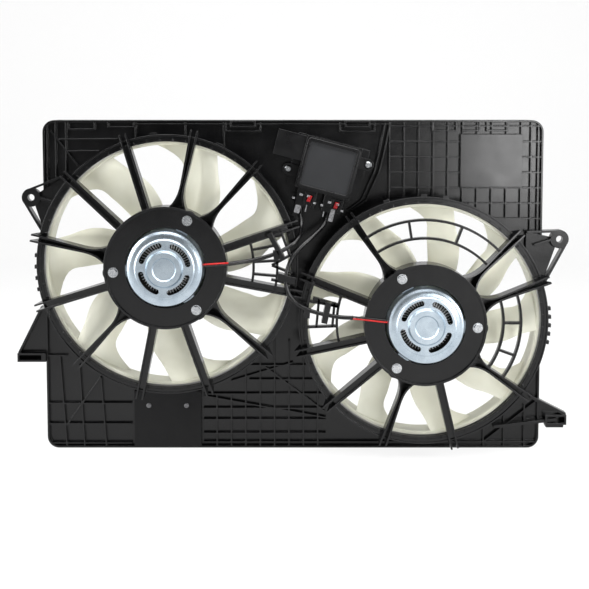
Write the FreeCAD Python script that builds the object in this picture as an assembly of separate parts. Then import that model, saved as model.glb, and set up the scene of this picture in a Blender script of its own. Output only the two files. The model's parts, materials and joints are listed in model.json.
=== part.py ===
"""Radiator fan module of a car: one moulded shroud that carries two ring fans with their
motors, a control module, two clipped leads and a ram-air flap.

Millimetres, +Z up, +X to the right for someone who looks at the motors.  The motors face -Y
and the radiator is at +Y.  The origin is on the bottom edge, midway along the panel, in the
plane of the panel's front face.
"""
import FreeCAD, Part
import math
import os

V = FreeCAD.Vector
AXIS_Y = V(0, 1, 0)

# ---- panel ---------------------------------------------------------------------------------
PANEL_W = 676.0          # moulded panel, without its ears and feet
PANEL_H = 451.0
PANEL_CORNER = 16.0
SHEET = 2.5              # wall of the panel's sheet
RIM_WALL = 2.5           # wall round the panel
RIM_FRONT = 6.0          # the rim stands this far in front of the sheet
PLENUM = 28.0            # depth of the box behind the sheet, up to the radiator
RIB = 1.8                # thickness of the stiffening ribs
RIB_H = 5.5              # height of the stiffening ribs
GRID_X = 19.8            # pitch of the rib grids across
WALL_LINE = [(131, 448), (124, 413), (116, 381), (99, 343), (80.5, 330)]
TOP_POCKETS = [(-304.0, -266.7, 437.8), (-250.3, -213.7, 441.0), (187.0, 221.0, 436.0),
               (228.0, 252.6, 436.0), (260.7, 290.8, 436.0)]
SNAP_WINDOWS = [(-84.7, -50.6), (69.6, 103.7)]
PAD = (226.0, 309.5, 360.6, 432.0)

# ---- fans: axis, bore of the barrel, blades -------------------------------------------------
LEFT_X, LEFT_Z = -165.5, 261.0
RIGHT_X, RIGHT_Z = 172.5, 186.0
LEFT_BORE = 166.0        # inner radius of the barrel
RIGHT_BORE = 159.0
LEFT_BLADES = 7
RIGHT_BLADES = 9
LEFT_PHASE, LEFT_CHORD = 1.9, 27.6       # degrees: where a blade starts, and its width there
RIGHT_PHASE, RIGHT_CHORD = -16.5, 22.0
TIP_GAP = 3.0            # fan ring to barrel
BARREL_WALL = 3.0
BARREL_FRONT = -50.0     # front face of the barrel's lip
BARREL_LIP = 3.5         # the lip stands this far outside the barrel's wall
LIP_T = 3.0              # thickness of the lip
BEAD = 1.8               # bead round the lip
BELL = 2.2               # flare at the barrel's back edge

RING_FRONT, RING_BACK = -42.0, -12.0     # the ring that joins the blade tips
RING_T = 4.5
HUB_R = 66.0
HUB_FRONT, HUB_BACK = -46.0, -12.0
HUB_T = 3.0
BOSS_R = 11.0            # boss of the hub on the shaft
BLADE_T = 2.6
SWEEP = 0.165            # degrees of sweep for each millimetre of radius
SWEEP_FROM = 84.0        # radius at which phase and chord are given
PITCH_HUB, PITCH_TIP = 36.0, 15.0        # pitch angle of a blade
BLADE_CAMBER = 3.0

# ---- motors --------------------------------------------------------------------------------
CAN_R = 50.0
CAN_T = 1.6
CAN_FACE = -86.0         # flat of the can's closed end
CAN_BOSS = 4.0           # the bearing boss stands this far in front of that flat
CAN_OPEN = -24.0         # open end of the can, shut by the end plate
PLATE_T = 2.0
SLOT_IN, SLOT_OUT = 27.5, 34.5           # kidney slots of the can's face
SLOT_ARC = 58.0
SHAFT_R = 4.0
SHAFT_GAP = 0.05         # running clearance in the bearings
BEARING_R = 9.0
BEARING_L = 9.0
ARMATURE_R = 36.0
AIR_GAP = 1.0            # armature to magnets
COMMUTATOR_R = 13.0
STACK_FRONT, STACK_BACK = -62.0, -39.0
COMMUTATOR_FRONT, COMMUTATOR_BACK = -76.5, -67.5
BRUSH_W, BRUSH_H, BRUSH_L = 6.0, 8.0, 14.0
BRUSH_GAP = 0.3
BRUSH_Y = COMMUTATOR_FRONT
HOLDER_T = 2.5
HOLDER_GAP = 0.2         # brush holder to can
LUG_T = 2.5
LUG_R = 8.0

# ---- motor mounts and spokes ----------------------------------------------------------------
MOUNT_FACE = -74.0       # front face of the ring that the motor is bolted to
MOUNT_T = 3.0
MOUNT_GAP = 2.5          # ring to can
CUP_R = 80.0             # outside of the cup wall round the motor
CUP_T = 2.6
CUP_LIP = 3.0            # the cup wall stands this far in front of the face
CUP_BACK = -50.0
BOLT_CIRCLE = 68.0
BOLT_R = 3.0             # M6
BOLT_HEAD_R = 6.6
BOLT_HEAD_H = 5.0
BOLT_LOBE = 11.0
SPOKE_W = 10.4           # across both walls of a spoke
SPOKE_T = 2.2            # each wall
SPOKE_NECK = 6.6         # across a flared spoke at its neck
SPOKE_ROOT = 23.0        # across a flared spoke at the cup
SPOKE_OVER = 9.0         # the prongs stand this far outside the lip
WEB_T = 2.2
SPOKE_FRONT = -75.0      # front edge of a spoke at the cup
SPOKE_BACK_ROOT, SPOKE_BACK_TIP = -53.0, -47.0   # back edge at the cup and at the barrel
PRONG_FRONT = -61.0
PRONG_BACK = -30.0       # the prongs run down the barrel's outside to here
LEFT_SPOKES = [18, 48, 78, 108, 138, 168, 198, 228, 258, 288, 318, 348]
LEFT_FLARED = {48, 78, 168, 228, 318}
RIGHT_SPOKES = [19, 43, 125, 159, 194, 222, 252, 284, 324]
RIGHT_FLARED = {19, 43, 125, 252, 324}
LEFT_BOLTS = [65, 185, 306]
RIGHT_BOLTS = [117, 237, 357]
LEFT_WIRE_ANGLE = 4.0
RIGHT_WIRE_ANGLE = 174.0
GUARD_T = 3.2            # guard arcs and cable grids between the spokes
GUARD_FRONT, GUARD_BACK = -63.0, -56.0
# guards and cable grids: from angle, to angle, radii of the arcs, angles of the rungs
LEFT_EXTRAS = [(-12, 18, (114, 145), (-5, 3, 11))]
RIGHT_EXTRAS = [(43, 125, (112, 136), (69, 99)), (-36, 19, (104, 127), (-20, 0)),
                (159, 194, (115, 155), (169, 182))]

# ---- control module -------------------------------------------------------------------------
MODULE_X, MODULE_Z = 47.3, 388.0
MODULE_TURN = 14.7       # degrees, clockwise for someone who looks at the motors
MODULE_W, MODULE_H = 75.0, 70.5
MODULE_BACK, MODULE_FRONT = -6.0, -28.0
MODULE_WALL = 2.4
COVER_T = 3.0
COVER_INSET = 2.6
SOCKET_W, SOCKET_H = 32.4, 34.0
SOCKET_U, SOCKET_V = -60.6, 16.8         # middle of the socket from the module's middle
SOCKET_WALL = 2.2
LUG_U, LUG_V = 51.5, 16.0                # the module's screw lugs
MODULE_LUG_R = 8.0
SCREW_R = 2.4
SCREW_HEAD_R = 5.0
PLUG_W, PLUG_H, PLUG_D = 29.0, 23.0, 17.0
PLUG_PITCH = 37.0
LOCK_W, LOCK_H, LOCK_T = 9.0, 8.0, 4.0
LOCK_GAP = 0.3
PLUG_FRONT = -27.0
PIN_Y = -17.0
BOARD_Y = -13.0

# ---- leads ----------------------------------------------------------------------------------
SLEEVE_D = 5.4
WIRE_D = 2.2
LEFT_ROUTE = [V(12.0, -28, 309.5), V(9.5, -48, 299.5), V(0.5, -62, 291.0), V(-13.0, -67.5, 282.8),
              V(-30.5, -68, 275.7), V(-50.5, -69, 270.6), V(-67.0, -73, 268.4)]
RIGHT_ROUTE = [V(39.5, -28, 309.0), V(25.5, -43, 297.2), V(10.0, -56, 286.0), V(-2.0, -63, 272.0),
               V(-8.2, -66, 256.3), V(-9.8, -68.5, 240.5), V(-6.0, -69.5, 225.0), V(6.0, -69.5, 211.5),
               V(24.0, -69, 203.0), V(45.0, -69, 198.0), V(63.0, -71, 195.4)]
SLEEVE_END = {-1: 82.6, 1: 95.0}
WIRE_Y = MOUNT_FACE - WIRE_D / 2 - 0.2

# ---- ram-air flap ---------------------------------------------------------------------------
FLAP_X0, FLAP_X1 = -218.0, -126.0
FLAP_Z0, FLAP_Z1 = 3.0, 79.5
FLAP_T = 2.0
FLAP_BEND = 52.0         # height of the line that the flap bends at
FLAP_GAP = 0.3           # leaf to strip and to the frame
PEG_R = 3.4
PEG_X = 25.8             # pegs to the flap's middle
PEG_Z = 60.0
FLAP_BORDER = 11.0       # the frame's face round the window
FLAP_SIDE = 222.0

# ---- ears and feet --------------------------------------------------------------------------
LEFT_EAR_X, LEFT_EAR_Z = -353.0, 347.0
RIGHT_EAR_X, RIGHT_EAR_Z = 360.0, 290.5
EAR_HOLE = 4.6
EAR_R = 12.5
EAR_FRONT, EAR_BACK = -14.0, -4.0
EAR_RIB = 3.0
FOOT_FRONT, FOOT_BACK = -14.0, 6.0


# ---- helpers --------------------------------------------------------------------------------
def block(x0, x1, y0, y1, z0, z1):
    return Part.makeBox(x1 - x0, y1 - y0, z1 - z0, V(x0, y0, z0))


def rod(x, z, r, y0, y1):
    return Part.makeCylinder(r, y1 - y0, V(x, y0, z), AXIS_Y)


def tube(x, z, r_in, r_out, y0, y1):
    return rod(x, z, r_out, y0, y1).cut(rod(x, z, r_in, y0 - 1, y1 + 1))


def turned(x, z, profile):
    """Revolve a closed (radius, y) outline about the axis through (x, z)."""
    wire = Part.makePolygon([V(r, y, 0) for r, y in profile + profile[:1]])
    solid = Part.Face(wire).revolve(V(0, 0, 0), AXIS_Y, 360)
    return solid.translated(V(x, 0, z))


def plate(points, y0, y1):
    """Push a closed (x, z) outline along Y."""
    wire = Part.makePolygon([V(x, y0, z) for x, z in points + points[:1]])
    return Part.Face(wire).extrude(V(0, y1 - y0, 0))


def bar(x0, z0, x1, z1, thick, y0, y1):
    """A straight rib from one (x, z) point to another."""
    length = math.hypot(x1 - x0, z1 - z0)
    nx, nz = -(z1 - z0) / length * thick / 2, (x1 - x0) / length * thick / 2
    return plate([(x0 + nx, z0 + nz), (x1 + nx, z1 + nz), (x1 - nx, z1 - nz), (x0 - nx, z0 - nz)],
                 y0, y1)


def sector(x, z, r_in, r_out, a0, a1, y0, y1):
    """Part of a tube, between two angles in degrees counter-clockwise from +X."""
    solid = tube(0, 0, r_in, r_out, y0, y1)
    span = math.radians(a1 - a0)
    reach = 1.2 * r_out / math.cos(span / 4)
    fan = [(0.0, 0.0)]
    for i in range(3):
        a = math.radians(a0) + span * i / 2
        fan.append((reach * math.cos(a), reach * math.sin(a)))
    return solid.common(plate(fan, y0 - 1, y1 + 1)).translated(V(x, 0, z))


def joined(shapes):
    """Fuse touching shapes into one solid and merge faces that continue each other."""
    shapes = list(shapes)
    if len(shapes) == 1:
        return shapes[0]
    return shapes[0].fuse(shapes[1:]).removeSplitter()


def polar(x, z, r, angle):
    a = math.radians(angle)
    return x + r * math.cos(a), z + r * math.sin(a)


def arc_points(x, z, r, a0, a1, steps):
    return [polar(x, z, r, a0 + (a1 - a0) * i / steps) for i in range(steps + 1)]


def at_angle(shape, x, z, angle):
    """Turn a shape drawn along +X from the axis to an angle counter-clockwise, and place it."""
    return shape.rotated(V(0, 0, 0), AXIS_Y, -angle).translated(V(x, 0, z))


def on_module(shape):
    """Place a shape that is drawn about the module's middle with its edges upright."""
    return shape.rotated(V(0, 0, 0), AXIS_Y, MODULE_TURN).translated(V(MODULE_X, 0, MODULE_Z))


def module_point(u, y, v):
    t = math.radians(MODULE_TURN)
    x = MODULE_X + u * math.cos(t) + v * math.sin(t)
    z = MODULE_Z - u * math.sin(t) + v * math.cos(t)
    return V(x, y, z)


# ---- fan ------------------------------------------------------------------------------------
def ring_radius(bore):
    return bore - TIP_GAP


def blade_outline(phase, chord, tip):
    """Outline of one blade as seen along the axis: a straight swept edge and one that flares
    into the ring."""
    root = HUB_R - HUB_T / 2
    steps = 8
    first, second = [], []
    for i in range(steps + 1):
        r = root + (tip - root) * i / steps
        swept = phase + SWEEP * (r - SWEEP_FROM)
        part = (r - root) / (tip - root)
        flare = 13.0 * max(0.0, (part - 0.45) / 0.55) ** 3
        first.append(polar(0, 0, r, swept))
        second.append(polar(0, 0, r, swept + chord - 5.5 * part + flare))
    edges = []
    for run in (first, second):
        curve = Part.BSplineCurve()
        curve.interpolate([V(x, 0, z) for x, z in run])
        edges.append(curve.toShape())
    edges.append(Part.makeLine(V(first[0][0], 0, first[0][1]), V(second[0][0], 0, second[0][1])))
    edges.append(Part.makeLine(V(first[-1][0], 0, first[-1][1]), V(second[-1][0], 0, second[-1][1])))
    return Part.Face(Part.Wire(Part.__sortEdges__(edges)))


def blade_sheet(middle, tip):
    """A twisted, cambered sheet across the fan's depth, wider than the blade."""
    half = 75.0
    mid_y = (RING_FRONT + RING_BACK) / 2
    sections = []
    for station in (HUB_R - 16.0, (HUB_R + tip) / 2, tip + 8.0):
        part = (station - HUB_R) / (tip - HUB_R)
        pitch = math.radians(PITCH_HUB + (PITCH_TIP - PITCH_HUB) * part)
        along = V(0, math.sin(pitch), math.cos(pitch))
        across = V(0, math.cos(pitch), -math.sin(pitch))
        centre = V(station, mid_y, 0)
        corners = []
        for side in (-BLADE_T / 2, BLADE_T / 2):
            corners.append([centre - along * half + across * side,
                            centre + across * (side - BLADE_CAMBER * 2),
                            centre + along * half + across * side])
        top = Part.Arc(*corners[0]).toShape()
        bottom = Part.Arc(*corners[1]).toShape()
        ends = [Part.makeLine(corners[0][i], corners[1][i]) for i in (0, 2)]
        sections.append(Part.Wire(Part.__sortEdges__([top, ends[1], bottom, ends[0]])))
    sheet = Part.makeLoft(sections, True, False)
    return sheet.rotated(V(0, 0, 0), AXIS_Y, -middle)


def fan(x, z, bore, blades, phase, chord):
    """Ivory ring fan: a hub cup, its boss and back ribs, the blades and the ring."""
    outer = ring_radius(bore)
    inner = outer - RING_T
    middle = phase + chord / 2 + SWEEP * (inner - SWEEP_FROM) / 2
    outline = blade_outline(phase, chord, inner + RING_T / 2)
    column = outline.extrude(V(0, 200, 0)).translated(V(0, -100, 0))
    blade = blade_sheet(middle, inner).common(column)
    blade = blade.common(tube(0, 0, HUB_R - HUB_T / 2, inner + RING_T / 2, RING_FRONT, RING_BACK))
    pieces = [turned(0, 0, [(inner, RING_BACK), (inner, RING_FRONT + 2), (inner + 1.5, RING_FRONT),
                            (outer, RING_FRONT), (outer, RING_BACK)])]
    pieces.append(turned(0, 0, [(HUB_R, HUB_FRONT), (HUB_R, HUB_BACK - 4), (HUB_R - 4, HUB_BACK),
                                (0, HUB_BACK), (0, HUB_BACK - HUB_T), (HUB_R - 5, HUB_BACK - HUB_T),
                                (HUB_R - HUB_T, HUB_BACK - HUB_T - 2), (HUB_R - HUB_T, HUB_FRONT)]))
    pieces.append(rod(0, 0, BOSS_R, HUB_BACK - HUB_T - 4, HUB_BACK + 3))
    for i in range(blades):
        pieces.append(blade.rotated(V(0, 0, 0), AXIS_Y, -i * 360.0 / blades))
    whole = joined(pieces).cut(rod(0, 0, SHAFT_R, -100, 20))
    return whole.translated(V(x, 0, z))


# ---- motor ----------------------------------------------------------------------------------
def face_y():
    return CAN_FACE + CAN_T


def motor_can(x, z, bolts):
    """Deep-drawn can with steps and kidney slots in its closed end, and three lugs."""
    front = CAN_FACE - CAN_BOSS
    outline = [(0, front + 1.8), (14, front + 1.8), (15.5, front), (22, front), (24.5, CAN_FACE),
               (37.5, CAN_FACE), (39, CAN_FACE + 1.2), (44, CAN_FACE + 1.2),
               (CAN_R - 1.5, CAN_FACE + 3.5), (CAN_R, CAN_FACE + 7), (CAN_R, CAN_OPEN), (0, CAN_OPEN)]
    inside = [(0, front + 1.8 + CAN_T), (20, front + 1.8 + CAN_T), (20, face_y()), (38, face_y()),
              (CAN_R - CAN_T, CAN_FACE + 7), (CAN_R - CAN_T, CAN_OPEN + 1), (0, CAN_OPEN + 1)]
    can = turned(0, 0, outline).cut(turned(0, 0, inside))
    pocket = tube(0, 0, BEARING_R, BEARING_R + CAN_T, front + 1.8 + CAN_T / 2, rear_bearing() + BEARING_L)
    can = can.fuse(pocket)
    middle = (SLOT_IN + SLOT_OUT) / 2
    width = (SLOT_OUT - SLOT_IN) / 2
    for k in range(4):
        a = 41 + 90 * k
        slot = sector(0, 0, SLOT_IN, SLOT_OUT, a - SLOT_ARC / 2, a + SLOT_ARC / 2,
                      CAN_FACE - 1, face_y() + 1)
        for end in (-1, 1):
            ex, ez = polar(0, 0, middle, a + end * SLOT_ARC / 2)
            slot = slot.fuse(rod(ex, ez, width, CAN_FACE - 1, face_y() + 1))
        can = can.cut(slot)
    lug_y = MOUNT_FACE + MOUNT_T
    for a in bolts:
        lug = block(CAN_R - CAN_T / 2, BOLT_CIRCLE, lug_y, lug_y + LUG_T, -LUG_R, LUG_R)
        lug = lug.fuse(rod(BOLT_CIRCLE, 0, LUG_R, lug_y, lug_y + LUG_T))
        lug = lug.cut(rod(BOLT_CIRCLE, 0, BOLT_R, lug_y - 1, lug_y + LUG_T + 1))
        can = can.fuse(at_angle(lug, 0, 0, a))
    return can.removeSplitter().translated(V(x, 0, z))


def rear_bearing():
    return CAN_FACE - CAN_BOSS + 1.8 + CAN_T + 0.3


def front_bearing():
    return CAN_OPEN - BEARING_L + PLATE_T


def motor_plate(x, z):
    """End plate that shuts the can on the fan's side and holds the front bearing."""
    top = CAN_OPEN + PLATE_T
    body = turned(x, z, [(BEARING_R, CAN_OPEN), (CAN_R, CAN_OPEN), (CAN_R, top), (BEARING_R, top)])
    seat = tube(x, z, BEARING_R, BEARING_R + 2, front_bearing(), CAN_OPEN + PLATE_T / 2)
    return body.fuse(seat).removeSplitter()


def motor_bearings(x, z):
    hole = SHAFT_R + SHAFT_GAP
    rear = tube(x, z, hole, BEARING_R, rear_bearing(), rear_bearing() + BEARING_L)
    front = tube(x, z, hole, BEARING_R, front_bearing(), front_bearing() + BEARING_L)
    return Part.makeCompound([rear, front])


def motor_shaft(x, z):
    return rod(x, z, SHAFT_R, rear_bearing() + 0.5, HUB_BACK + 10)


def armature(x, z):
    """Laminated core with its slots and the end turns of the winding."""
    core = turned(0, 0, [(SHAFT_R, STACK_FRONT), (ARMATURE_R, STACK_FRONT),
                         (ARMATURE_R, STACK_BACK), (SHAFT_R, STACK_BACK)])
    for k in range(12):
        notch = block(ARMATURE_R - 8, ARMATURE_R + 2, STACK_FRONT - 1, STACK_BACK + 1, -1.6, 1.6)
        core = core.cut(at_angle(notch, 0, 0, 30 * k))
    turns = []
    for y0, y1 in ((COMMUTATOR_BACK, STACK_FRONT), (STACK_BACK, STACK_BACK + 4)):
        turns.append(turned(0, 0, [(SHAFT_R, y0), (ARMATURE_R - 12, y0), (ARMATURE_R - 9, y0 + 1.5),
                                   (ARMATURE_R - 9, y1), (SHAFT_R, y1)]))
    return core.fuse(turns).removeSplitter().translated(V(x, 0, z))


def commutator(x, z):
    return tube(x, z, SHAFT_R, COMMUTATOR_R, COMMUTATOR_FRONT, COMMUTATOR_BACK)


def magnets(x, z):
    """Four ferrite arcs glued inside the can."""
    r_in, r_out = ARMATURE_R + AIR_GAP, CAN_R - CAN_T
    arcs = [sector(x, z, r_in, r_out, 90 * k + 8, 90 * k + 82, STACK_FRONT - 3, STACK_BACK + 3)
            for k in range(4)]
    return Part.makeCompound(arcs)


def brushes(x, z):
    start = COMMUTATOR_R + BRUSH_GAP
    brush = block(start, start + BRUSH_L, BRUSH_Y, BRUSH_Y + BRUSH_W, -BRUSH_H / 2, BRUSH_H / 2)
    return Part.makeCompound([at_angle(brush, x, z, a) for a in (-4, 176)])


def brush_holder(x, z):
    """Plastic plate across the can with a box round each brush."""
    y0 = BRUSH_Y + BRUSH_W
    body = tube(0, 0, COMMUTATOR_R + 3, CAN_R - CAN_T - HOLDER_GAP, y0, y0 + HOLDER_T)
    start = COMMUTATOR_R + 3
    for a in (-4, 176):
        box = block(start, start + BRUSH_L + 1, BRUSH_Y - 1.6, y0 + HOLDER_T / 2,
                    -BRUSH_H / 2 - 1.6, BRUSH_H / 2 + 1.6)
        body = body.fuse(at_angle(box, 0, 0, a))
    for a in (-4, 176):
        channel = block(start - 1, start + BRUSH_L + 3, BRUSH_Y, y0, -BRUSH_H / 2, BRUSH_H / 2)
        body = body.cut(at_angle(channel, 0, 0, a))
    return body.removeSplitter().translated(V(x, 0, z))


def hub_nut(x, z):
    y0 = HUB_BACK + 3
    points = arc_points(x, z, 8.0, 0, 360, 6)[:-1]
    return plate(points, y0, y0 + 5).cut(rod(x, z, SHAFT_R, y0 - 1, y0 + 6))


def motor_bolts(x, z, bolts):
    """Flange bolts through the mount ring into the can's lugs."""
    solids = []
    for a in bolts:
        bx, bz = polar(x, z, BOLT_CIRCLE, a)
        flange = rod(bx, bz, BOLT_HEAD_R, MOUNT_FACE - 1.4, MOUNT_FACE)
        hexagon = plate(arc_points(bx, bz, BOLT_HEAD_R * 0.86, a, a + 360, 6)[:-1],
                        MOUNT_FACE - BOLT_HEAD_H, MOUNT_FACE - 1.4)
        shank = rod(bx, bz, BOLT_R, MOUNT_FACE, MOUNT_FACE + MOUNT_T + LUG_T + 5)
        solids.append(joined([flange, hexagon, shank]))
    return Part.makeCompound(solids)


# ---- barrel and spider ----------------------------------------------------------------------
def barrel(x, z, bore):
    """Short tube that the fan turns in, with a bell at its back and a beaded lip in front."""
    wall = bore + BARREL_WALL
    lip = wall + BARREL_LIP
    return turned(x, z, [(bore + BELL, SHEET), (bore, -3), (bore, BARREL_FRONT),
                         (lip - 2, BARREL_FRONT), (lip - 2, BARREL_FRONT - BEAD),
                         (lip, BARREL_FRONT - BEAD), (lip, BARREL_FRONT + LIP_T),
                         (wall, BARREL_FRONT + LIP_T), (wall, SHEET)])


def side_profile(points):
    """Push a closed (radius, y) outline across a spoke that lies along +X."""
    wire = Part.makePolygon([V(r, y, -SPOKE_ROOT) for r, y in points + points[:1]])
    return Part.Face(wire).extrude(V(0, 0, 2 * SPOKE_ROOT))


def spoke_edge(root, lip, tip, flared):
    """Outer edge of a spoke's wall on its +Z side: (radius, half width) points."""
    if not flared:
        return [(root, SPOKE_W / 2), (tip, SPOKE_W / 2)]
    neck = root + 0.34 * (lip - root)
    edge = []
    for i in range(6):
        part = 1 - i / 5
        half = SPOKE_NECK / 2 + (SPOKE_ROOT - SPOKE_NECK) / 2 * part ** 2.6
        edge.append((neck - part * (neck - root), half))
    return edge + [(lip, SPOKE_W / 2), (tip, SPOKE_W / 2)]


def spoke(root, bore, lip, tip, flared):
    """Two walls that run past the lip as prongs, and a web between them."""
    side = side_profile([(root, SPOKE_FRONT), (lip - 6, PRONG_FRONT - 2), (tip, PRONG_FRONT),
                         (tip, PRONG_FRONT + 3), (lip + 1.5, PRONG_BACK), (bore - 2, PRONG_BACK),
                         (bore - 2, SPOKE_BACK_TIP), (root, SPOKE_BACK_ROOT)])
    edge = spoke_edge(root, lip, tip, flared)
    inner = [(r, w - SPOKE_T) for r, w in edge]
    walls = []
    for sign in (1, -1):
        outline = [(r, w * sign) for r, w in edge] + [(r, w * sign) for r, w in reversed(inner)]
        walls.append(plate(outline, SPOKE_FRONT - 5, PRONG_BACK + 5))
    if flared:
        web_side = [(root, SPOKE_BACK_ROOT - WEB_T), (bore, SPOKE_BACK_TIP - WEB_T),
                    (bore, SPOKE_BACK_TIP), (root, SPOKE_BACK_ROOT)]
    else:
        web_side = [(root, SPOKE_FRONT + 4), (bore, PRONG_FRONT + 2), (bore, PRONG_FRONT + 2 + WEB_T),
                    (root, SPOKE_FRONT + 4 + WEB_T)]
    (r0, w0), (r1, w1) = inner[-3:-1] if flared else inner
    between = [p for p in inner if p[0] < bore] + [(bore, w0 + (w1 - w0) * (bore - r0) / (r1 - r0))]
    web = plate(between + [(r, -w) for r, w in reversed(between)], SPOKE_FRONT - 5, PRONG_BACK + 5)
    pieces = [w.common(side) for w in walls] + [web.common(side_profile(web_side))]
    return pieces[0].fuse(pieces[1:])


def spider(x, z, bore, spokes, flared, bolts, wire_angle, extras):
    """Motor cup and the spokes that hang it in the barrel's mouth."""
    lip = bore + BARREL_WALL + BARREL_LIP
    root = CUP_R - CUP_T / 2
    kinds = {f: spoke(root, bore, lip, lip + SPOKE_OVER, f) for f in (True, False)}
    ring = turned(0, 0, [(CAN_R + MOUNT_GAP, MOUNT_FACE), (CUP_R - CUP_T, MOUNT_FACE),
                         (CUP_R - CUP_T, MOUNT_FACE - CUP_LIP), (CUP_R, MOUNT_FACE - CUP_LIP),
                         (CUP_R, CUP_BACK), (CUP_R - CUP_T, CUP_BACK),
                         (CUP_R - CUP_T, MOUNT_FACE + MOUNT_T), (CAN_R + MOUNT_GAP, MOUNT_FACE + MOUNT_T)])
    parts = [ring] + [at_angle(kinds[angle in flared], 0, 0, angle) for angle in spokes]
    for a in bolts:
        bx, bz = polar(0, 0, BOLT_CIRCLE + 2.5, a)
        lobe = rod(bx, bz, BOLT_LOBE, MOUNT_FACE - 1.2, MOUNT_FACE + MOUNT_T + 10)
        keep_out = rod(bx, bz, BOLT_LOBE - 2.6, MOUNT_FACE + MOUNT_T, MOUNT_FACE + MOUNT_T + 11)
        parts.append(lobe.cut(keep_out).cut(rod(0, 0, CUP_R - CUP_T / 2, -100, 0)))
    whole = joined(parts)
    guards = []
    for a0, a1, radii, rungs in extras:
        for r in radii:
            guards.append(sector(0, 0, r - GUARD_T / 2, r + GUARD_T / 2, a0, a1, GUARD_FRONT, GUARD_BACK))
        for a in rungs:
            rung = block(radii[0], radii[-1], GUARD_FRONT, GUARD_BACK, -GUARD_T / 2, GUARD_T / 2)
            guards.append(at_angle(rung, 0, 0, a))
    whole = whole.fuse(guards)
    cuts = []
    for a in bolts:
        bx, bz = polar(0, 0, BOLT_CIRCLE, a)
        cuts.append(rod(bx, bz, BOLT_R + 0.3, -100, 0))
        cuts.append(rod(bx, bz, BOLT_HEAD_R + 0.6, -100, MOUNT_FACE))
    notch = block(CAN_R, CUP_R + 3, MOUNT_FACE - CUP_LIP - 1, MOUNT_FACE, -6, 6)
    cuts.append(at_angle(notch, 0, 0, wire_angle))
    whole = whole.cut(cuts).translated(V(x, 0, z))
    return whole.cut([barrel(LEFT_X, LEFT_Z, LEFT_BORE), barrel(RIGHT_X, RIGHT_Z, RIGHT_BORE)])


# ---- panel ----------------------------------------------------------------------------------
def grid(x0, x1, z0, z1, xs, zs):
    """Crossed ribs in front of the sheet, inside a rectangle."""
    ribs = [block(x - RIB / 2, x + RIB / 2, -RIB_H, 0, z0, z1) for x in xs]
    ribs += [block(x0, x1, -RIB_H, 0, z - RIB / 2, z + RIB / 2) for z in zs]
    return ribs


def pocket_ribs(x0, x1, z0, z1, front):
    """The four walls of a small rectangular pocket, up to a height in front of the sheet."""
    outer = block(x0, x1, -front, 0, z0, z1)
    return outer.cut(block(x0 + RIB, x1 - RIB, -front - 1, 1, z0 + RIB, z1 - RIB))


def rib_line(points, height):
    """A rib that follows a line of (x, z) points."""
    return [bar(a[0], a[1], b[0], b[1], RIB, -height, 0) for a, b in zip(points, points[1:])]


def rounded_slab(inset, y0, y1):
    """The panel's outline, drawn in by an inset, pushed along Y."""
    half = PANEL_W / 2 - inset
    solid = block(-half, half, y0, y1, inset, PANEL_H - inset)
    upright = [e for e in solid.Edges if abs(e.tangentAt(e.FirstParameter).y) > 0.99]
    return solid.makeFillet(max(PANEL_CORNER - inset, 1.0), upright)


def stepped_ribs():
    """All stiffening ribs of the panel's front, before the barrels are cut out of them."""
    top = PANEL_H - RIM_WALL
    right = PANEL_W / 2 - RIM_WALL
    ribs = grid(130, right, 317, top, [130 + GRID_X * k for k in range(10)],
                [317.6 + 20.9 * k for k in range(7)])
    ribs += grid(320, 332, 300, top, [321.7, 331.2], [])
    ribs += grid(-123, 45, RIM_WALL, 75, [-104.7 + GRID_X * k for k in range(8)],
                 [7.8, 20.0, 39.4, 55.1, 75.2])
    ribs += grid(-60, 45, 75, 150, [-64.9 + GRID_X * k for k in range(6)], [95.0, 115.0])
    ribs += rib_line([(-123, 72.7), (45, 42)], RIB_H)
    ribs += rib_line([(-41, 115), (43.6, 50.6)], RIB_H)
    ribs += rib_line([(-84.7, 93.2), (-0.3, 119)], RIB_H)
    for low, high, up in ((-311.7, -319.6, 128.7), (-287.2, -293.0, 116.0), (-257.3, -263.6, 98.0)):
        ribs += rib_line([(low, RIM_WALL), (high, up)], RIB_H)
    ribs += rib_line([(-264, 98.6), (-311.7, 31)], RIB_H)
    ribs += grid(-PANEL_W / 2 + 2, -FLAP_SIDE, 0, 1, [], [6.3, 33.3, 62.0])
    ribs += grid(-PANEL_W / 2 + 2, -310, 128, 129, [], [128.7])
    for x in (-332.0, -320.4, -306.6):
        ribs += grid(x, x, 330, top, [x], [])
    ribs += rib_line([(-327, 437), (-290, 388)], RIB_H)
    ribs += grid(-315.5, -237.6, 0, 1, [], [425.4])
    ribs += grid(-304.5, -262, 0, 1, [], [409.3])
    ribs += grid(0, 0, 415, top, [-212.5, -145.6, -93.7], [])
    ribs += grid(-212, 131, 0, 1, [], [445.6])
    for points in (WALL_LINE, [(x - 7, z - 1) for x, z in WALL_LINE]):
        ribs += rib_line(points, RIB_H + 2)
    ribs += grid(45, 338, 0, 1, [], [8.0])
    ribs += rib_line([(262, 8), (335, 66)], RIB_H)
    ribs += grid(0, 0, RIM_WALL, 60, [262.0, 290.0, 318.0], [])
    return ribs


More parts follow.
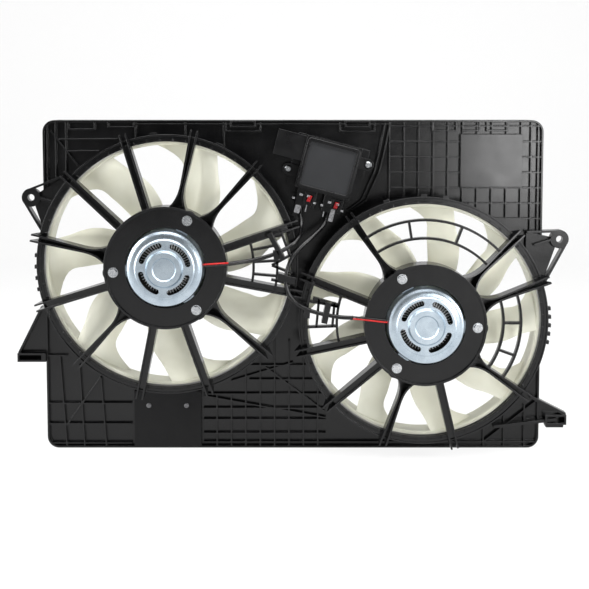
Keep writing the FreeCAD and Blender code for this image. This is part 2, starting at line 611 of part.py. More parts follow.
def ear(hole_x, hole_z, upper, lower):
    """Screw ear: a boss, two arms in front of the panel's edge, a web and a short rib."""
    side = 1 if hole_x > 0 else -1
    arms = []
    for point, turn in ((upper, 1), (lower, -1)):
        dx, dz = point[0] - hole_x, point[1] - hole_z
        length = math.hypot(dx, dz)
        shift = (EAR_R - EAR_RIB / 2) * turn * side
        nx, nz = dz / length * shift, -dx / length * shift
        arms.append(bar(hole_x + nx, hole_z + nz, point[0], point[1], EAR_RIB, EAR_FRONT, 0))
    web = plate([(hole_x, hole_z), upper, (upper[0], lower[1]), lower], EAR_BACK - EAR_RIB, EAR_BACK)
    inner = bar(hole_x - side * 8, hole_z, hole_x - side * 34, hole_z - 8, EAR_RIB, EAR_FRONT, EAR_BACK)
    boss = rod(hole_x, hole_z, EAR_R, EAR_FRONT, EAR_BACK)
    return joined([boss, web, inner] + arms).cut(rod(hole_x, hole_z, EAR_HOLE, EAR_FRONT - 1, 1))


def left_foot():
    """Hook foot that drops into the radiator's lower bracket, with its gusset."""
    edge = -PANEL_W / 2 + 1
    shelf = block(-375.5, edge, FOOT_FRONT, FOOT_BACK, 122.0, 134.0)
    hollow = block(-373.0, edge - 6, FOOT_FRONT - 1, FOOT_BACK - 3, 124.5, 131.5)
    gusset = plate([(edge, 133), (-374, 133), (-344.5, 196), (edge, 196)], -3, 0)
    strut = bar(-374, 134, -342, 197, EAR_RIB, FOOT_FRONT + 4, 0)
    return joined([shelf.cut(hollow), gusset, strut])


def right_foot():
    edge = PANEL_W / 2 - 1
    head = block(345.0, 374.0, FOOT_FRONT, FOOT_BACK, 34.4, 48.4)
    hollow = block(348.0, 371.5, FOOT_FRONT - 1, FOOT_BACK - 3, 37.0, 45.8)
    stub = block(347.0, 370.7, FOOT_FRONT + 3, FOOT_BACK - 3, 30.0, 35.0)
    upper = bar(325, 73, 373, 48.5, EAR_RIB + 1, FOOT_FRONT + 2, 0)
    lower = bar(275, 31, 361, 41.0, EAR_RIB + 1, FOOT_FRONT + 2, 0)
    web = plate([(edge, 67), (372, 48), (346, 38), (edge, 38)], -3, 0)
    return joined([head.cut(hollow), stub, upper, lower, web])


def shroud_panel():
    """Sheet, rim and plenum walls, ribs, pockets, ears and feet: one moulding."""
    body = rounded_slab(0, -RIM_FRONT, PLENUM)
    body = body.cut(rounded_slab(RIM_WALL, SHEET, PLENUM + 1))
    body = body.cut(rounded_slab(RIM_WALL, -RIM_FRONT - 1, 0))
    inside = rounded_slab(RIM_WALL / 2, -RIM_FRONT - 4, SHEET)
    extra = [r.common(inside) for r in stepped_ribs()]
    for x0, x1, z0 in TOP_POCKETS:
        extra.append(pocket_ribs(x0, x1, z0, PANEL_H - 1, RIM_FRONT))
    for x0, x1 in SNAP_WINDOWS:
        extra.append(pocket_ribs(x0, x1, 441.4, PANEL_H - 1, RIM_FRONT + 2))
        extra.append(pocket_ribs(x0 - 7, x1 + 7, 435.0, PANEL_H - 1, RIM_FRONT))
    x0, x1, z0, z1 = PAD
    extra.append(block(x0, x1, -RIM_FRONT - 2, 0, z0, z1))
    base = block(-MODULE_W / 2 - 12, MODULE_W / 2 + 12, MODULE_BACK, 0, -MODULE_H / 2, MODULE_H / 2)
    extra.append(on_module(base))
    fx0, fx1, fz0, fz1 = FLAP_X0, FLAP_X1, FLAP_Z0, FLAP_Z1
    extra.append(block(fx0, fx1, -RIM_FRONT, 0, fz0, fz1))
    body = body.fuse(extra)
    cuts = [rod(LEFT_X, LEFT_Z, LEFT_BORE + BARREL_WALL, -60, SHEET + 0.01),
            rod(RIGHT_X, RIGHT_Z, RIGHT_BORE + BARREL_WALL, -60, SHEET + 0.01)]
    cuts.append(block(x0 + SHEET, x1 - SHEET, -RIM_FRONT - 2 + SHEET, SHEET + 1, z0 + SHEET, z1 - SHEET))
    cuts.append(on_module(block(-MODULE_W / 2 - 9, MODULE_W / 2 + 9, MODULE_BACK + SHEET, SHEET + 1,
                                -MODULE_H / 2 + SHEET, MODULE_H / 2 - SHEET)))
    cuts.append(block(fx0 + FLAP_BORDER, fx1 - FLAP_BORDER, -RIM_FRONT - 1, SHEET + 1,
                      fz0 + FLAP_BORDER, FLAP_BEND - 6))
    for side in (-1, 1):
        peg_x = (fx0 + fx1) / 2 + side * PEG_X
        cuts.append(rod(peg_x, PEG_Z, PEG_R * 0.6, -RIM_FRONT - 1, SHEET + 1))
        lug = module_point(side * LUG_U, 0, side * LUG_V)
        extra_boss = rod(lug.x, lug.z, MODULE_LUG_R - 2.0, MODULE_BACK, SHEET)
        body = body.fuse(extra_boss)
        cuts.append(rod(lug.x, lug.z, SCREW_R, MODULE_BACK - 1, SHEET - 0.8))
    body = body.cut(cuts)
    outer = [ear(LEFT_EAR_X, LEFT_EAR_Z, (-308.6, 376.0), (-337.0, 298.0)),
             ear(RIGHT_EAR_X, RIGHT_EAR_Z, (316.0, 300.0), (337.0, 224.0)), left_foot(), right_foot()]
    body = body.fuse(outer)
    keep_clear = [rod(LEFT_X, LEFT_Z, LEFT_BORE + BARREL_WALL, -60, SHEET + 0.01),
                  rod(RIGHT_X, RIGHT_Z, RIGHT_BORE + BARREL_WALL, -60, SHEET + 0.01)]
    return body.cut(keep_clear).removeSplitter()


# ---- control module, plugs and locks --------------------------------------------------------
def module_base():
    """Housing with a rim for the cover, a neck to the socket and two screw lugs."""
    w, h = MODULE_W / 2, MODULE_H / 2
    front = MODULE_FRONT - COVER_T
    body = block(-w, w, front, MODULE_BACK, -h, h)
    inner_w, inner_h = w - MODULE_WALL - 2, h - MODULE_WALL - 2
    hollow = block(-inner_w, inner_w, front - 1, MODULE_BACK - MODULE_WALL, -inner_h, inner_h)
    seat = block(-w + COVER_INSET - 0.2, w - COVER_INSET + 0.2, front - 1, MODULE_FRONT,
                 -h + COVER_INSET - 0.2, h - COVER_INSET + 0.2)
    u0, u1 = SOCKET_U - SOCKET_W / 2, SOCKET_U + SOCKET_W / 2
    v0, v1 = SOCKET_V - SOCKET_H / 2, SOCKET_V + SOCKET_H / 2
    shell = block(u0, -w + 1, MODULE_FRONT + 1, MODULE_BACK - 1, v0, v1)
    mouth = block(u0 - 1, u1 - 5, MODULE_FRONT + 1 + SOCKET_WALL, MODULE_BACK - 1 - SOCKET_WALL,
                  v0 + SOCKET_WALL, v1 - SOCKET_WALL)
    body = body.fuse(shell).cut([hollow, seat, mouth])
    for s in (-1, 1):
        lug = rod(s * LUG_U, s * LUG_V, MODULE_LUG_R, MODULE_BACK - 3, MODULE_BACK)
        arm = block(min(s * w, s * LUG_U), max(s * w, s * LUG_U), MODULE_BACK - 3, MODULE_BACK,
                    s * LUG_V - MODULE_LUG_R, s * LUG_V + MODULE_LUG_R)
        body = body.fuse([lug, arm])
        body = body.cut(rod(s * LUG_U, s * LUG_V, SCREW_R + 0.3, MODULE_BACK - 4, MODULE_BACK + 1))
        body = body.cut(block(s * PLUG_PITCH / 2 - PLUG_W / 2 + 3, s * PLUG_PITCH / 2 + PLUG_W / 2 - 3,
                              PLUG_FRONT + 3, PLUG_FRONT + PLUG_D - 3, -h - 1, -inner_h + 1))
    for k in range(4):
        pin_v = SOCKET_V - 9 + 6 * k
        body = body.cut(block(u1 - 6, -inner_w + 1, PIN_Y - 0.8, PIN_Y + 0.8, pin_v - 1.5, pin_v + 1.5))
    return on_module(body.removeSplitter())


def module_cover():
    """Flat lid with a row of short cooling fins along its upper edge."""
    w, h = MODULE_W / 2 - COVER_INSET, MODULE_H / 2 - COVER_INSET
    front = MODULE_FRONT - COVER_T
    lid = block(-w, w, front - 0.6, MODULE_FRONT, -h, h)
    fins = [block(-w + 4 + 2.8 * k, -w + 5.2 + 2.8 * k, front - 1.6, front - 0.6, h - 7, h - 1)
            for k in range(22)]
    return on_module(joined([lid] + fins))


def module_board():
    w, h = MODULE_W / 2 - MODULE_WALL - 2.3, MODULE_H / 2 - MODULE_WALL - 2.3
    board = block(-w, w, BOARD_Y, BOARD_Y + 1.6, -h, h)
    posts = [rod(s * (w - 5), t * (h - 5), 2.2, BOARD_Y + 1.6, MODULE_BACK - MODULE_WALL)
             for s in (-1, 1) for t in (-1, 1)]
    return on_module(joined([board] + posts))


def module_pins():
    """Four flat terminals from the board, through the neck, into the socket."""
    pins = []
    inner = -MODULE_W / 2 + MODULE_WALL + 2.3
    for k in range(4):
        v = SOCKET_V - 9 + 6 * k
        blade = block(SOCKET_U - 8, inner + 6, PIN_Y - 0.4, PIN_Y + 0.4, v - 1.4, v + 1.4)
        foot = block(inner + 4, inner + 6, PIN_Y, BOARD_Y, v - 1.4, v + 1.4)
        pins.append(on_module(joined([blade, foot])))
    return Part.makeCompound(pins)


def module_screws():
    screws = []
    for s in (-1, 1):
        top = MODULE_BACK - 3
        head = turned(s * LUG_U, s * LUG_V, [(0, top), (SCREW_HEAD_R, top), (SCREW_HEAD_R, top - 1.2),
                                             (SCREW_HEAD_R - 1.6, top - 3), (0, top - 3)])
        shank = rod(s * LUG_U, s * LUG_V, SCREW_R, top, SHEET - 0.8)
        screws.append(on_module(joined([head, shank])))
    return Part.makeCompound(screws)


def plug(side):
    """Lead plug: a body under the module, a nose inside it and a channel for the lock."""
    u = side * PLUG_PITCH / 2
    v1 = -MODULE_H / 2
    v0 = v1 - PLUG_H
    body = block(u - PLUG_W / 2, u + PLUG_W / 2, PLUG_FRONT, PLUG_FRONT + PLUG_D, v0, v1)
    upright = [e for e in body.Edges if abs(e.tangentAt(e.FirstParameter).z) > 0.99]
    body = body.makeFillet(2.0, upright)
    nose = block(u - PLUG_W / 2 + 3.3, u + PLUG_W / 2 - 3.3, PLUG_FRONT + 3.3,
                 PLUG_FRONT + PLUG_D - 3.3, v1 - 1, v1 + MODULE_WALL + 3)
    rails = [block(u + lock_shift() - LOCK_W / 2 - 3, u + lock_shift() + LOCK_W / 2 + 3,
                   PLUG_FRONT - 2.6, PLUG_FRONT + 1, v0 + 4, v1 - 3)]
    body = body.fuse([nose] + rails)
    channel = block(u + lock_shift() - LOCK_W / 2 - LOCK_GAP, u + lock_shift() + LOCK_W / 2 + LOCK_GAP,
                    PLUG_FRONT - 4, PLUG_FRONT + 1.2, v0 - 1, v1 - 5)
    return on_module(body.cut(channel).removeSplitter())


def lock_shift():
    return 4.0


def plug_lock(side):
    """Red slide that locks the plug: pulled down to free it."""
    u = side * PLUG_PITCH / 2 + lock_shift()
    top = -MODULE_H / 2 - 5 - LOCK_GAP - 1.5
    back = PLUG_FRONT + 1.2 - LOCK_GAP
    body = block(u - LOCK_W / 2, u + LOCK_W / 2, back - LOCK_T, back, top - LOCK_H, top)
    thumb = block(u - LOCK_W / 2, u + LOCK_W / 2, back - LOCK_T - 1.4, back - LOCK_T + 1,
                  top - LOCK_H, top - LOCK_H + 2.4)
    return on_module(joined([body, thumb]))


# ---- leads ----------------------------------------------------------------------------------
def lead_path(points):
    """Straight runs joined by tangent arcs, each as large as its two runs allow."""
    edges, start = [], points[0]
    for before, corner, after in zip(points, points[1:], points[2:]):
        into, out = corner - before, after - corner
        turn = into.getAngle(out)
        shorter = min(into.Length, out.Length)
        back = 0.45 * shorter
        a = corner - V(into).normalize() * back
        b = corner + V(out).normalize() * back
        middle = (V(out).normalize() - V(into).normalize()).normalize()
        radius = back / math.tan(turn / 2)
        sagitta = radius * (1 / math.cos(turn / 2) - 1)
        edges += [Part.LineSegment(start, a).toShape(), Part.Arc(a, corner + middle * sagitta, b).toShape()]
        start = b
    edges.append(Part.LineSegment(start, points[-1]).toShape())
    return Part.Wire(edges)


def cord(points, diameter):
    path = lead_path(points)
    across = (points[1] - points[0]).normalize()
    section = Part.Wire(Part.makeCircle(diameter / 2, points[0], across))
    solid = path.makePipeShell([section], True, True)
    ideal = path.Length * math.pi * diameter ** 2 / 4
    print("  cord length", round(path.Length, 1), "volume over section times length",
          round(solid.Volume / ideal, 3))
    return solid


def lead_start(side):
    """Where a sleeve leaves its plug, and a point straight below."""
    u = side * PLUG_PITCH / 2 - 3.0
    v = -MODULE_H / 2 - PLUG_H
    y = PLUG_FRONT + PLUG_D / 2
    return [module_point(u, y, v), module_point(u, y, v - 9)]


def lead_end(x, z, r, angle, y):
    ex, ez = polar(x, z, r, angle)
    return V(ex, y, ez)


def sleeve_points(side):
    if side < 0:
        end = lead_end(LEFT_X, LEFT_Z, SLEEVE_END[side], LEFT_WIRE_ANGLE, MOUNT_FACE - SLEEVE_D / 2 - 0.4)
        return lead_start(side) + LEFT_ROUTE + [end]
    end = lead_end(RIGHT_X, RIGHT_Z, SLEEVE_END[side], RIGHT_WIRE_ANGLE, MOUNT_FACE - 1.6)
    return lead_start(side) + RIGHT_ROUTE + [end]


def wire_points(side, shift):
    """One of the two wires from a sleeve's end, over the cup's notch, to the can."""
    x, z, angle = ((LEFT_X, LEFT_Z, LEFT_WIRE_ANGLE) if side < 0
                   else (RIGHT_X, RIGHT_Z, RIGHT_WIRE_ANGLE))
    y = sleeve_points(side)[-1].y
    far = SLEEVE_END[side]
    points = []
    for r, at in ((far, y), (far - 8, (y + WIRE_Y) / 2), (CUP_R - 8, WIRE_Y),
                  ((CUP_R + CAN_R) / 2 - 2, WIRE_Y - 0.6), (CAN_R - 1, WIRE_Y - 0.4)):
        px, pz = polar(x, z, r, angle + math.degrees(shift / r))
        points.append(V(px, at, pz))
    return points


def motor_wire(side, shift):
    x, z = (LEFT_X, LEFT_Z) if side < 0 else (RIGHT_X, RIGHT_Z)
    sleeve = cord(sleeve_points(side), SLEEVE_D)
    return cord(wire_points(side, shift), WIRE_D).cut([rod(x, z, CAN_R, -100, 0), sleeve])


def lead_clip(side):
    """Moulded clip that holds a sleeve on the cable grid."""
    x, z, r, angle = ((LEFT_X, LEFT_Z, 145.0, 6.5) if side < 0 else (RIGHT_X, RIGHT_Z, 155.0, 174.5))
    block_body = block(r - 4, r + 4, -73.5, GUARD_FRONT, -6, 6)
    body = at_angle(block_body, x, z, angle)
    return body


# ---- ram-air flap ---------------------------------------------------------------------------
def flap_strip():
    """Part of the rubber flap that the pegs hold."""
    y1 = -RIM_FRONT
    body = block(FLAP_X0, FLAP_X1, y1 - FLAP_T, y1, FLAP_BEND + FLAP_GAP / 2, FLAP_Z1)
    for s in (-1, 1):
        body = body.cut(rod((FLAP_X0 + FLAP_X1) / 2 + s * PEG_X, PEG_Z, PEG_R * 0.6, y1 - 5, y1 + 1))
    return body


def flap_leaf():
    y1 = -RIM_FRONT - FLAP_GAP
    return block(FLAP_X0, FLAP_X1, y1 - FLAP_T, y1, FLAP_Z0, FLAP_BEND - FLAP_GAP / 2)


def flap_pegs():
    pegs = []
    for s in (-1, 1):
        x = (FLAP_X0 + FLAP_X1) / 2 + s * PEG_X
        y = -RIM_FRONT - FLAP_T
        head = turned(x, PEG_Z, [(0, y), (PEG_R, y), (PEG_R, y - 1), (PEG_R - 1.2, y - 2), (0, y - 2)])
        pegs.append(joined([head, rod(x, PEG_Z, PEG_R * 0.6, y, SHEET + 3)]))
    return Part.makeCompound(pegs)


def save(name, shape):
    shape.exportStep("parts/" + name + ".step")
    kind = len(shape.Solids)
    print(name, kind, "solid" if kind == 1 else "solids", round(shape.Volume / 1000, 2), "cm3",
          "valid" if shape.isValid() else "NOT VALID")


os.makedirs("parts", exist_ok=True)


for side, x, z, bore, count, phase, chord in (
        ("left", LEFT_X, LEFT_Z, LEFT_BORE, LEFT_BLADES, LEFT_PHASE, LEFT_CHORD),
        ("right", RIGHT_X, RIGHT_Z, RIGHT_BORE, RIGHT_BLADES, RIGHT_PHASE, RIGHT_CHORD)):
    spokes, flared, bolts, wire, extras = (
        (LEFT_SPOKES, LEFT_FLARED, LEFT_BOLTS, LEFT_WIRE_ANGLE, LEFT_EXTRAS) if side == "left"
        else (RIGHT_SPOKES, RIGHT_FLARED, RIGHT_BOLTS, RIGHT_WIRE_ANGLE, RIGHT_EXTRAS))
    save(side + "_barrel", barrel(x, z, bore))
    save(side + "_spider", spider(x, z, bore, spokes, flared, bolts, wire, extras))
    save(side + "_fan", fan(x, z, bore, count, phase, chord))
    save(side + "_motor_can", motor_can(x, z, bolts))
    save(side + "_motor_end_plate", motor_plate(x, z))
    save(side + "_motor_bearings", motor_bearings(x, z))
    save(side + "_motor_magnets", magnets(x, z))
    save(side + "_motor_shaft", motor_shaft(x, z))
    save(side + "_armature", armature(x, z))
    save(side + "_commutator", commutator(x, z))
    save(side + "_brushes", brushes(x, z))
    save(side + "_brush_holder", brush_holder(x, z))
    save(side + "_hub_nut", hub_nut(x, z))
    save(side + "_motor_bolts", motor_bolts(x, z, bolts))

save("shroud_panel", shroud_panel())
save("module_base", module_base())
save("module_cover", module_cover())
save("module_board", module_board())
save("module_pins", module_pins())
save("module_screws", module_screws())
for side, name in ((-1, "left"), (1, "right")):
    save(name + "_plug", plug(side))
    save(name + "_plug_lock", plug_lock(side))
    save(name + "_lead_sleeve", cord(sleeve_points(side), SLEEVE_D))
    save(name + "_red_wire", motor_wire(side, WIRE_D / 2 + 0.15))
    save(name + "_black_wire", motor_wire(side, -WIRE_D / 2 - 0.15))
    save(name + "_lead_clip", lead_clip(side).cut(cord(sleeve_points(side), SLEEVE_D + 0.3)))
save("flap_strip", flap_strip())
save("flap_leaf", flap_leaf())
save("flap_pegs", flap_pegs())
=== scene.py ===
# %% [markdown]
# # A radiator fan module, dressed in Blender
# The CAD model gives every piece of the module its true shape, size and place. This file gives
# the pieces their finish: black moulded nylon, ivory fan plastic, zinc-plated steel, rubber and
# wire. It also adds the small repeated forms that are easier to lay out by rule than to draw.
# Blender works in metres. Sizes of the module are given in millimetres, as on a drawing, and MM
# turns them into metres. Where a fan, a plug or the cover is, the CAD nodes say.

# %% Load the frame
import json
import math

import bmesh
import bpy
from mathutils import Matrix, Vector


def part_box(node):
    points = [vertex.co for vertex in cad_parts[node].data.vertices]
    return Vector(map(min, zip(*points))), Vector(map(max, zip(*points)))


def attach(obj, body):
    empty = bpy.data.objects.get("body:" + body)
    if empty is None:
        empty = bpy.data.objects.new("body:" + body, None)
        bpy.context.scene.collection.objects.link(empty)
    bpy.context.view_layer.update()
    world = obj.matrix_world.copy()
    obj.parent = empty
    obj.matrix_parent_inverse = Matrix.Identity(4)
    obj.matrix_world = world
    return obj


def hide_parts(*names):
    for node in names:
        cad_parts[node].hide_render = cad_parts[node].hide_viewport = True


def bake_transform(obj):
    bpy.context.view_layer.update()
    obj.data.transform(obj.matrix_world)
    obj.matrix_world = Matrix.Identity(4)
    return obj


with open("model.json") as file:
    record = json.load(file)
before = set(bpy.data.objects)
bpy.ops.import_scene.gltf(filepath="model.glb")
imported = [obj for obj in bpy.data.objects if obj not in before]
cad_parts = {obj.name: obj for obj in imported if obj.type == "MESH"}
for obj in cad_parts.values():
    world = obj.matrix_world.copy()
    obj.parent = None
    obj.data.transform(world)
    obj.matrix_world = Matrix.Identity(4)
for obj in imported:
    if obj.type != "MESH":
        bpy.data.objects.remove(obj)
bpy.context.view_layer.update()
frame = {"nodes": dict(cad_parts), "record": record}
nodes = frame["nodes"]

# %% [markdown]
# ## Places worth a name
# The two fan axes are the middles of the two barrels, and the front of the panel is at Y = 0.
# Reading the axes from the nodes keeps the dressing in step with the CAD model.

# %% Named places
MM = 0.001


def middle(node):
    """The middle of a node's box."""
    low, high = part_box(node)
    return (low + high) / 2


AXIS = {side: Vector((middle(side + "_barrel").x, 0, middle(side + "_barrel").z))
        for side in ("left", "right")}
for side, axis in AXIS.items():
    print(side, "fan axis at x", round(axis.x / MM, 1), "z", round(axis.z / MM, 1), "mm")

# %% [markdown]
# ## The camera
# The module is looked at from the motors' side, almost straight on and from a little above its
# middle. A long lens keeps the proportions of the flat panel. The camera looks almost level at a
# point near the panel's top, so upright lines stay nearly parallel, and the shift of the lens
# brings the whole module back to the middle of the frame.

# %% Camera
EYE = Vector((1.98, -1420.6, 479.4)) * MM
TARGET = Vector((1.98, -40.0, 377.1)) * MM
SENSOR_WIDTH, LENS = 36.0, 64.1
SHIFT_UP = -0.2

camera_data = bpy.data.cameras.new("camera")
camera_data.sensor_width = SENSOR_WIDTH
camera_data.lens = LENS
camera_data.shift_y = SHIFT_UP
camera = bpy.data.objects.new("camera", camera_data)
camera.location = EYE
camera.rotation_euler = (TARGET - EYE).to_track_quat("-Z", "Y").to_euler()
bpy.context.scene.collection.objects.link(camera)
bpy.context.scene.camera = camera
print("camera", round((TARGET - EYE).length, 3), "m from its target")

# %% [markdown]
# ## Floor and backdrop
# A studio sweep is one sheet of paper that lies on the table and curves up behind the
# product, so no corner shows. Here it is a single strip of faces that follows a floor line, a
# quarter circle and a wall. Its material glows white for the camera, yet it still takes the
# module's soft shadow, because part of its brightness is ordinary diffuse light.

# %% Sweep
SWEEP_FRONT, SWEEP_BACK = -3.0, 1.6
SWEEP_HALF_WIDTH = 4.0
SWEEP_RADIUS = 0.6
SWEEP_TOP = 3.0
CURVE_STEPS = 16


def sweep_mesh():
    """One strip of faces along the floor, the curve and the wall."""
    line = [(SWEEP_FRONT, 0.0), (SWEEP_BACK, 0.0)]
    for i in range(1, CURVE_STEPS + 1):
        a = math.pi / 2 * i / CURVE_STEPS
        line.append((SWEEP_BACK + SWEEP_RADIUS * math.sin(a), SWEEP_RADIUS * (1 - math.cos(a))))
    line.append((SWEEP_BACK + SWEEP_RADIUS, SWEEP_TOP))
    verts = [(x, y, z) for y, z in line for x in (-SWEEP_HALF_WIDTH, SWEEP_HALF_WIDTH)]
    faces = [(2 * i, 2 * i + 1, 2 * i + 3, 2 * i + 2) for i in range(len(line) - 1)]
    mesh = bpy.data.meshes.new("sweep")
    mesh.from_pydata(verts, [], faces)
    mesh.shade_smooth()
    return mesh


sweep = bpy.data.objects.new("sweep", sweep_mesh())
bpy.context.scene.collection.objects.link(sweep)
print("sweep faces:", len(sweep.data.polygons))

# %% [markdown]
# ## A small kit for materials
# Each finish is a node graph that starts from Object coordinates, which for these pieces are
# plain metres in the module's own frame. Noise with a scale of 1000 therefore has grains of
# about a millimetre. A helper that adds a node, sets its inputs and links it keeps the graphs
# short enough to read.

# %% Material helpers
MATERIALS = {}
BEVEL_SAMPLES = 6


class Graph:
    """A new material and short ways to add nodes to it."""

    def __init__(self, name):
        self.material = bpy.data.materials.new(name)
        self.material.use_nodes = True
        self.tree = self.material.node_tree
        self.shader = self.tree.nodes["Principled BSDF"]
        self.place = self.tree.nodes.new("ShaderNodeTexCoord").outputs["Object"]
        MATERIALS[name] = self.material

    def node(self, kind, inputs=(), **settings):
        """Add a node; each input is a value, or a socket to link to."""
        node = self.tree.nodes.new(kind)
        for key, value in settings.items():
            setattr(node, key, value)
        for key, value in dict(inputs).items():
            if isinstance(value, bpy.types.NodeSocket):
                self.tree.links.new(value, node.inputs[key])
            else:
                node.inputs[key].default_value = value
        return node

    def noise(self, scale, detail=2.0):
        """A noise in the module's own frame."""
        return self.node("ShaderNodeTexNoise", {"Vector": self.place, "Scale": scale,
                                                "Detail": detail}).outputs["Fac"]

    def ramp(self, value, low, high, start=0.35, end=0.65):
        """Map a grey value to a range of numbers or a range of colours."""
        ramp = self.node("ShaderNodeValToRGB", {"Fac": value})
        for stop, colour, at in zip(ramp.color_ramp.elements, (low, high), (start, end)):
            shade = colour if isinstance(colour, tuple) else (colour,) * 3
            stop.color = (*shade, 1.0)
            stop.position = at
        return ramp.outputs["Color"]

    def bump(self, height, distance, strength=1.0, edge=0.0):
        """Grain as a normal; edge rounds the corners of the light by that many metres."""
        links = {"Height": height, "Distance": distance, "Strength": strength}
        if edge:
            links["Normal"] = self.node("ShaderNodeBevel", {"Radius": edge},
                                        samples=BEVEL_SAMPLES).outputs[0]
        return self.node("ShaderNodeBump", links).outputs["Normal"]

    def set(self, **inputs):
        """Set or link inputs of the main shader by their short names."""
        names = {"colour": "Base Color", "roughness": "Roughness", "metallic": "Metallic",
                 "normal": "Normal", "specular": "Specular IOR Level"}
        for key, value in inputs.items():
            socket = self.shader.inputs[names[key]]
            if isinstance(value, bpy.types.NodeSocket):
                self.tree.links.new(value, socket)
            else:
                socket.default_value = (*value, 1.0) if isinstance(value, tuple) else value
        return self.material


def srgb(r, g, b):
    """Screen colour, 0 to 255, to the linear colour that a shader takes."""
    return tuple((c / 255 / 12.92) if c / 255 <= 0.04045 else ((c / 255 + 0.055) / 1.055) ** 2.4
                 for c in (r, g, b))


print("material kit ready")

# %% [markdown]
# ## The sweep's paper
# For the camera, and for what shiny parts reflect, the paper is mostly its own white. The rest
# is diffuse, and that share is what the module's shadow darkens.

# %% Paper
PAPER_GLOW = 0.86
PAPER_COLOUR = (0.8, 0.8, 0.8, 1.0)
SHADOW_COLOUR = (0.14, 0.14, 0.14, 1.0)


def paper():
    """White for the camera and in reflections, plain diffuse paper for all other light."""
    g = Graph("paper")
    tree = g.tree
    tree.nodes.remove(g.shader)
    rays = g.node("ShaderNodeLightPath")
    seen = g.node("ShaderNodeMath", {0: rays.outputs["Is Camera Ray"],
                                     1: rays.outputs["Is Glossy Ray"]}, operation="MAXIMUM")
    seen = g.node("ShaderNodeMath", {0: seen.outputs[0],
                                     1: rays.outputs["Is Transmission Ray"]}, operation="MAXIMUM")
    diffuse = g.node("ShaderNodeBsdfDiffuse", {"Color": PAPER_COLOUR})
    dim = g.node("ShaderNodeBsdfDiffuse", {"Color": SHADOW_COLOUR})
    glow = g.node("ShaderNodeEmission", {"Strength": PAPER_GLOW})
    white = g.node("ShaderNodeAddShader", {0: dim.outputs[0], 1: glow.outputs[0]})
    mixed = g.node("ShaderNodeMixShader", {"Fac": seen.outputs[0], 1: diffuse.outputs[0],
                                           2: white.outputs[0]})
    tree.links.new(mixed.outputs[0], tree.nodes["Material Output"].inputs["Surface"])
    return g.material


sweep.data.materials.append(paper())
print("paper glows at", PAPER_GLOW)

# %% [markdown]
# ## Light
# Black plastic shows its shape only by what it reflects. Small, bright soft boxes to both sides
# and above light the fans, while flat black faces look past them and stay black. One more box
# stands to the right of the camera, where the flat pads at the top right mirror it. Three broad
# boxes stand almost in the plane of the panel: they hardly light a face that looks at the
# camera, but every rounded edge turns far enough to catch one of them. The world is kept low,
# because it would lay an even grey over everything.

# %% Lamps and world
WORLD_STRENGTH = 0.12


def soft_box(name, place, aim, width, height, power):
    """A rectangular lamp in its place, turned towards a point."""
    data = bpy.data.lights.new(name, "AREA")
    data.shape = "RECTANGLE"
    data.size, data.size_y = width, height
    data.energy = power
    lamp = bpy.data.objects.new(name, data)
    lamp.location = place
    lamp.rotation_euler = (Vector(aim) - Vector(place)).to_track_quat("-Z", "Y").to_euler()
    bpy.context.scene.collection.objects.link(lamp)


# name, place, point it looks at, width and height in metres, watts
SOFT_BOXES = (
    ("box_above", (0.0, -0.9, 1.5), (0, 0, 0.2), 1.3, 0.4, 11),
    ("box_left", (-1.4, -1.0, 0.75), (0, 0, 0.2), 0.3, 1.0, 12),
    ("box_right", (1.5, -0.9, 0.8), (0, 0, 0.2), 0.3, 1.0, 8),
    ("rim_above", (0.0, -0.12, 1.3), (0, 0, 0.2), 2.0, 0.8, 30),
    ("rim_left", (-1.3, -0.2, 0.5), (0, 0, 0.2), 0.8, 1.2, 18),
    ("rim_right", (1.35, -0.2, 0.5), (0, 0, 0.2), 0.8, 1.2, 18),
    ("box_beside_camera", (0.71, -1.45, 0.34), (0.2, 0, 0.34), 0.46, 0.3, 6.0),
)
for row in SOFT_BOXES:
    soft_box(*row)

world = bpy.data.worlds.new("world")
world.use_nodes = True
world.node_tree.nodes["Background"].inputs["Color"].default_value = (1.0, 1.0, 1.0, 1.0)
world.node_tree.nodes["Background"].inputs["Strength"].default_value = WORLD_STRENGTH
bpy.context.scene.world = world
bpy.context.scene.view_settings.view_transform = "Standard"
print(len(SOFT_BOXES), "soft boxes and the world")

# %% [markdown]
# ## Black moulded nylon
# The shroud is glass-filled nylon: black with a soft, slightly uneven shine. A broad noise steers
# its tone and its roughness, and a fine one is the grain of the mould. The grain lies on a Bevel
# node, which bends the light round every corner as if it had a small radius.

# %% Shroud plastic
def shroud_plastic():
    g = Graph("shroud_plastic")
    flow = g.noise(38.0, 3.0)
    grain = g.noise(1400.0, 2.0)
    g.set(colour=g.ramp(flow, srgb(5, 5, 6), srgb(10, 10, 11)),
          roughness=g.ramp(flow, 0.19, 0.25, 0.3, 0.7), specular=0.36,
          normal=g.bump(grain, 0.00003, 0.5, edge=0.0009))
    return g.material


shroud_plastic()
print("shroud plastic")

# %% [markdown]
# ## Ivory fan plastic
# The fans are moulded in nylon without pigment, which is a warm ivory. It is satin: a broad noise
# varies its tone and its roughness a little, and a fine grain softens its highlights.

# %% Fan plastic
def fan_plastic():
    g = Graph("fan_plastic")
    cloud = g.noise(18.0, 3.0)
    grain = g.noise(1800.0, 2.0)
    g.set(colour=g.ramp(cloud, srgb(216, 215, 196), srgb(226, 226, 210)),
          roughness=g.ramp(cloud, 0.42, 0.52), normal=g.bump(grain, 0.00003, 0.4))
    return g.material


fan_plastic()
print("fan plastic")
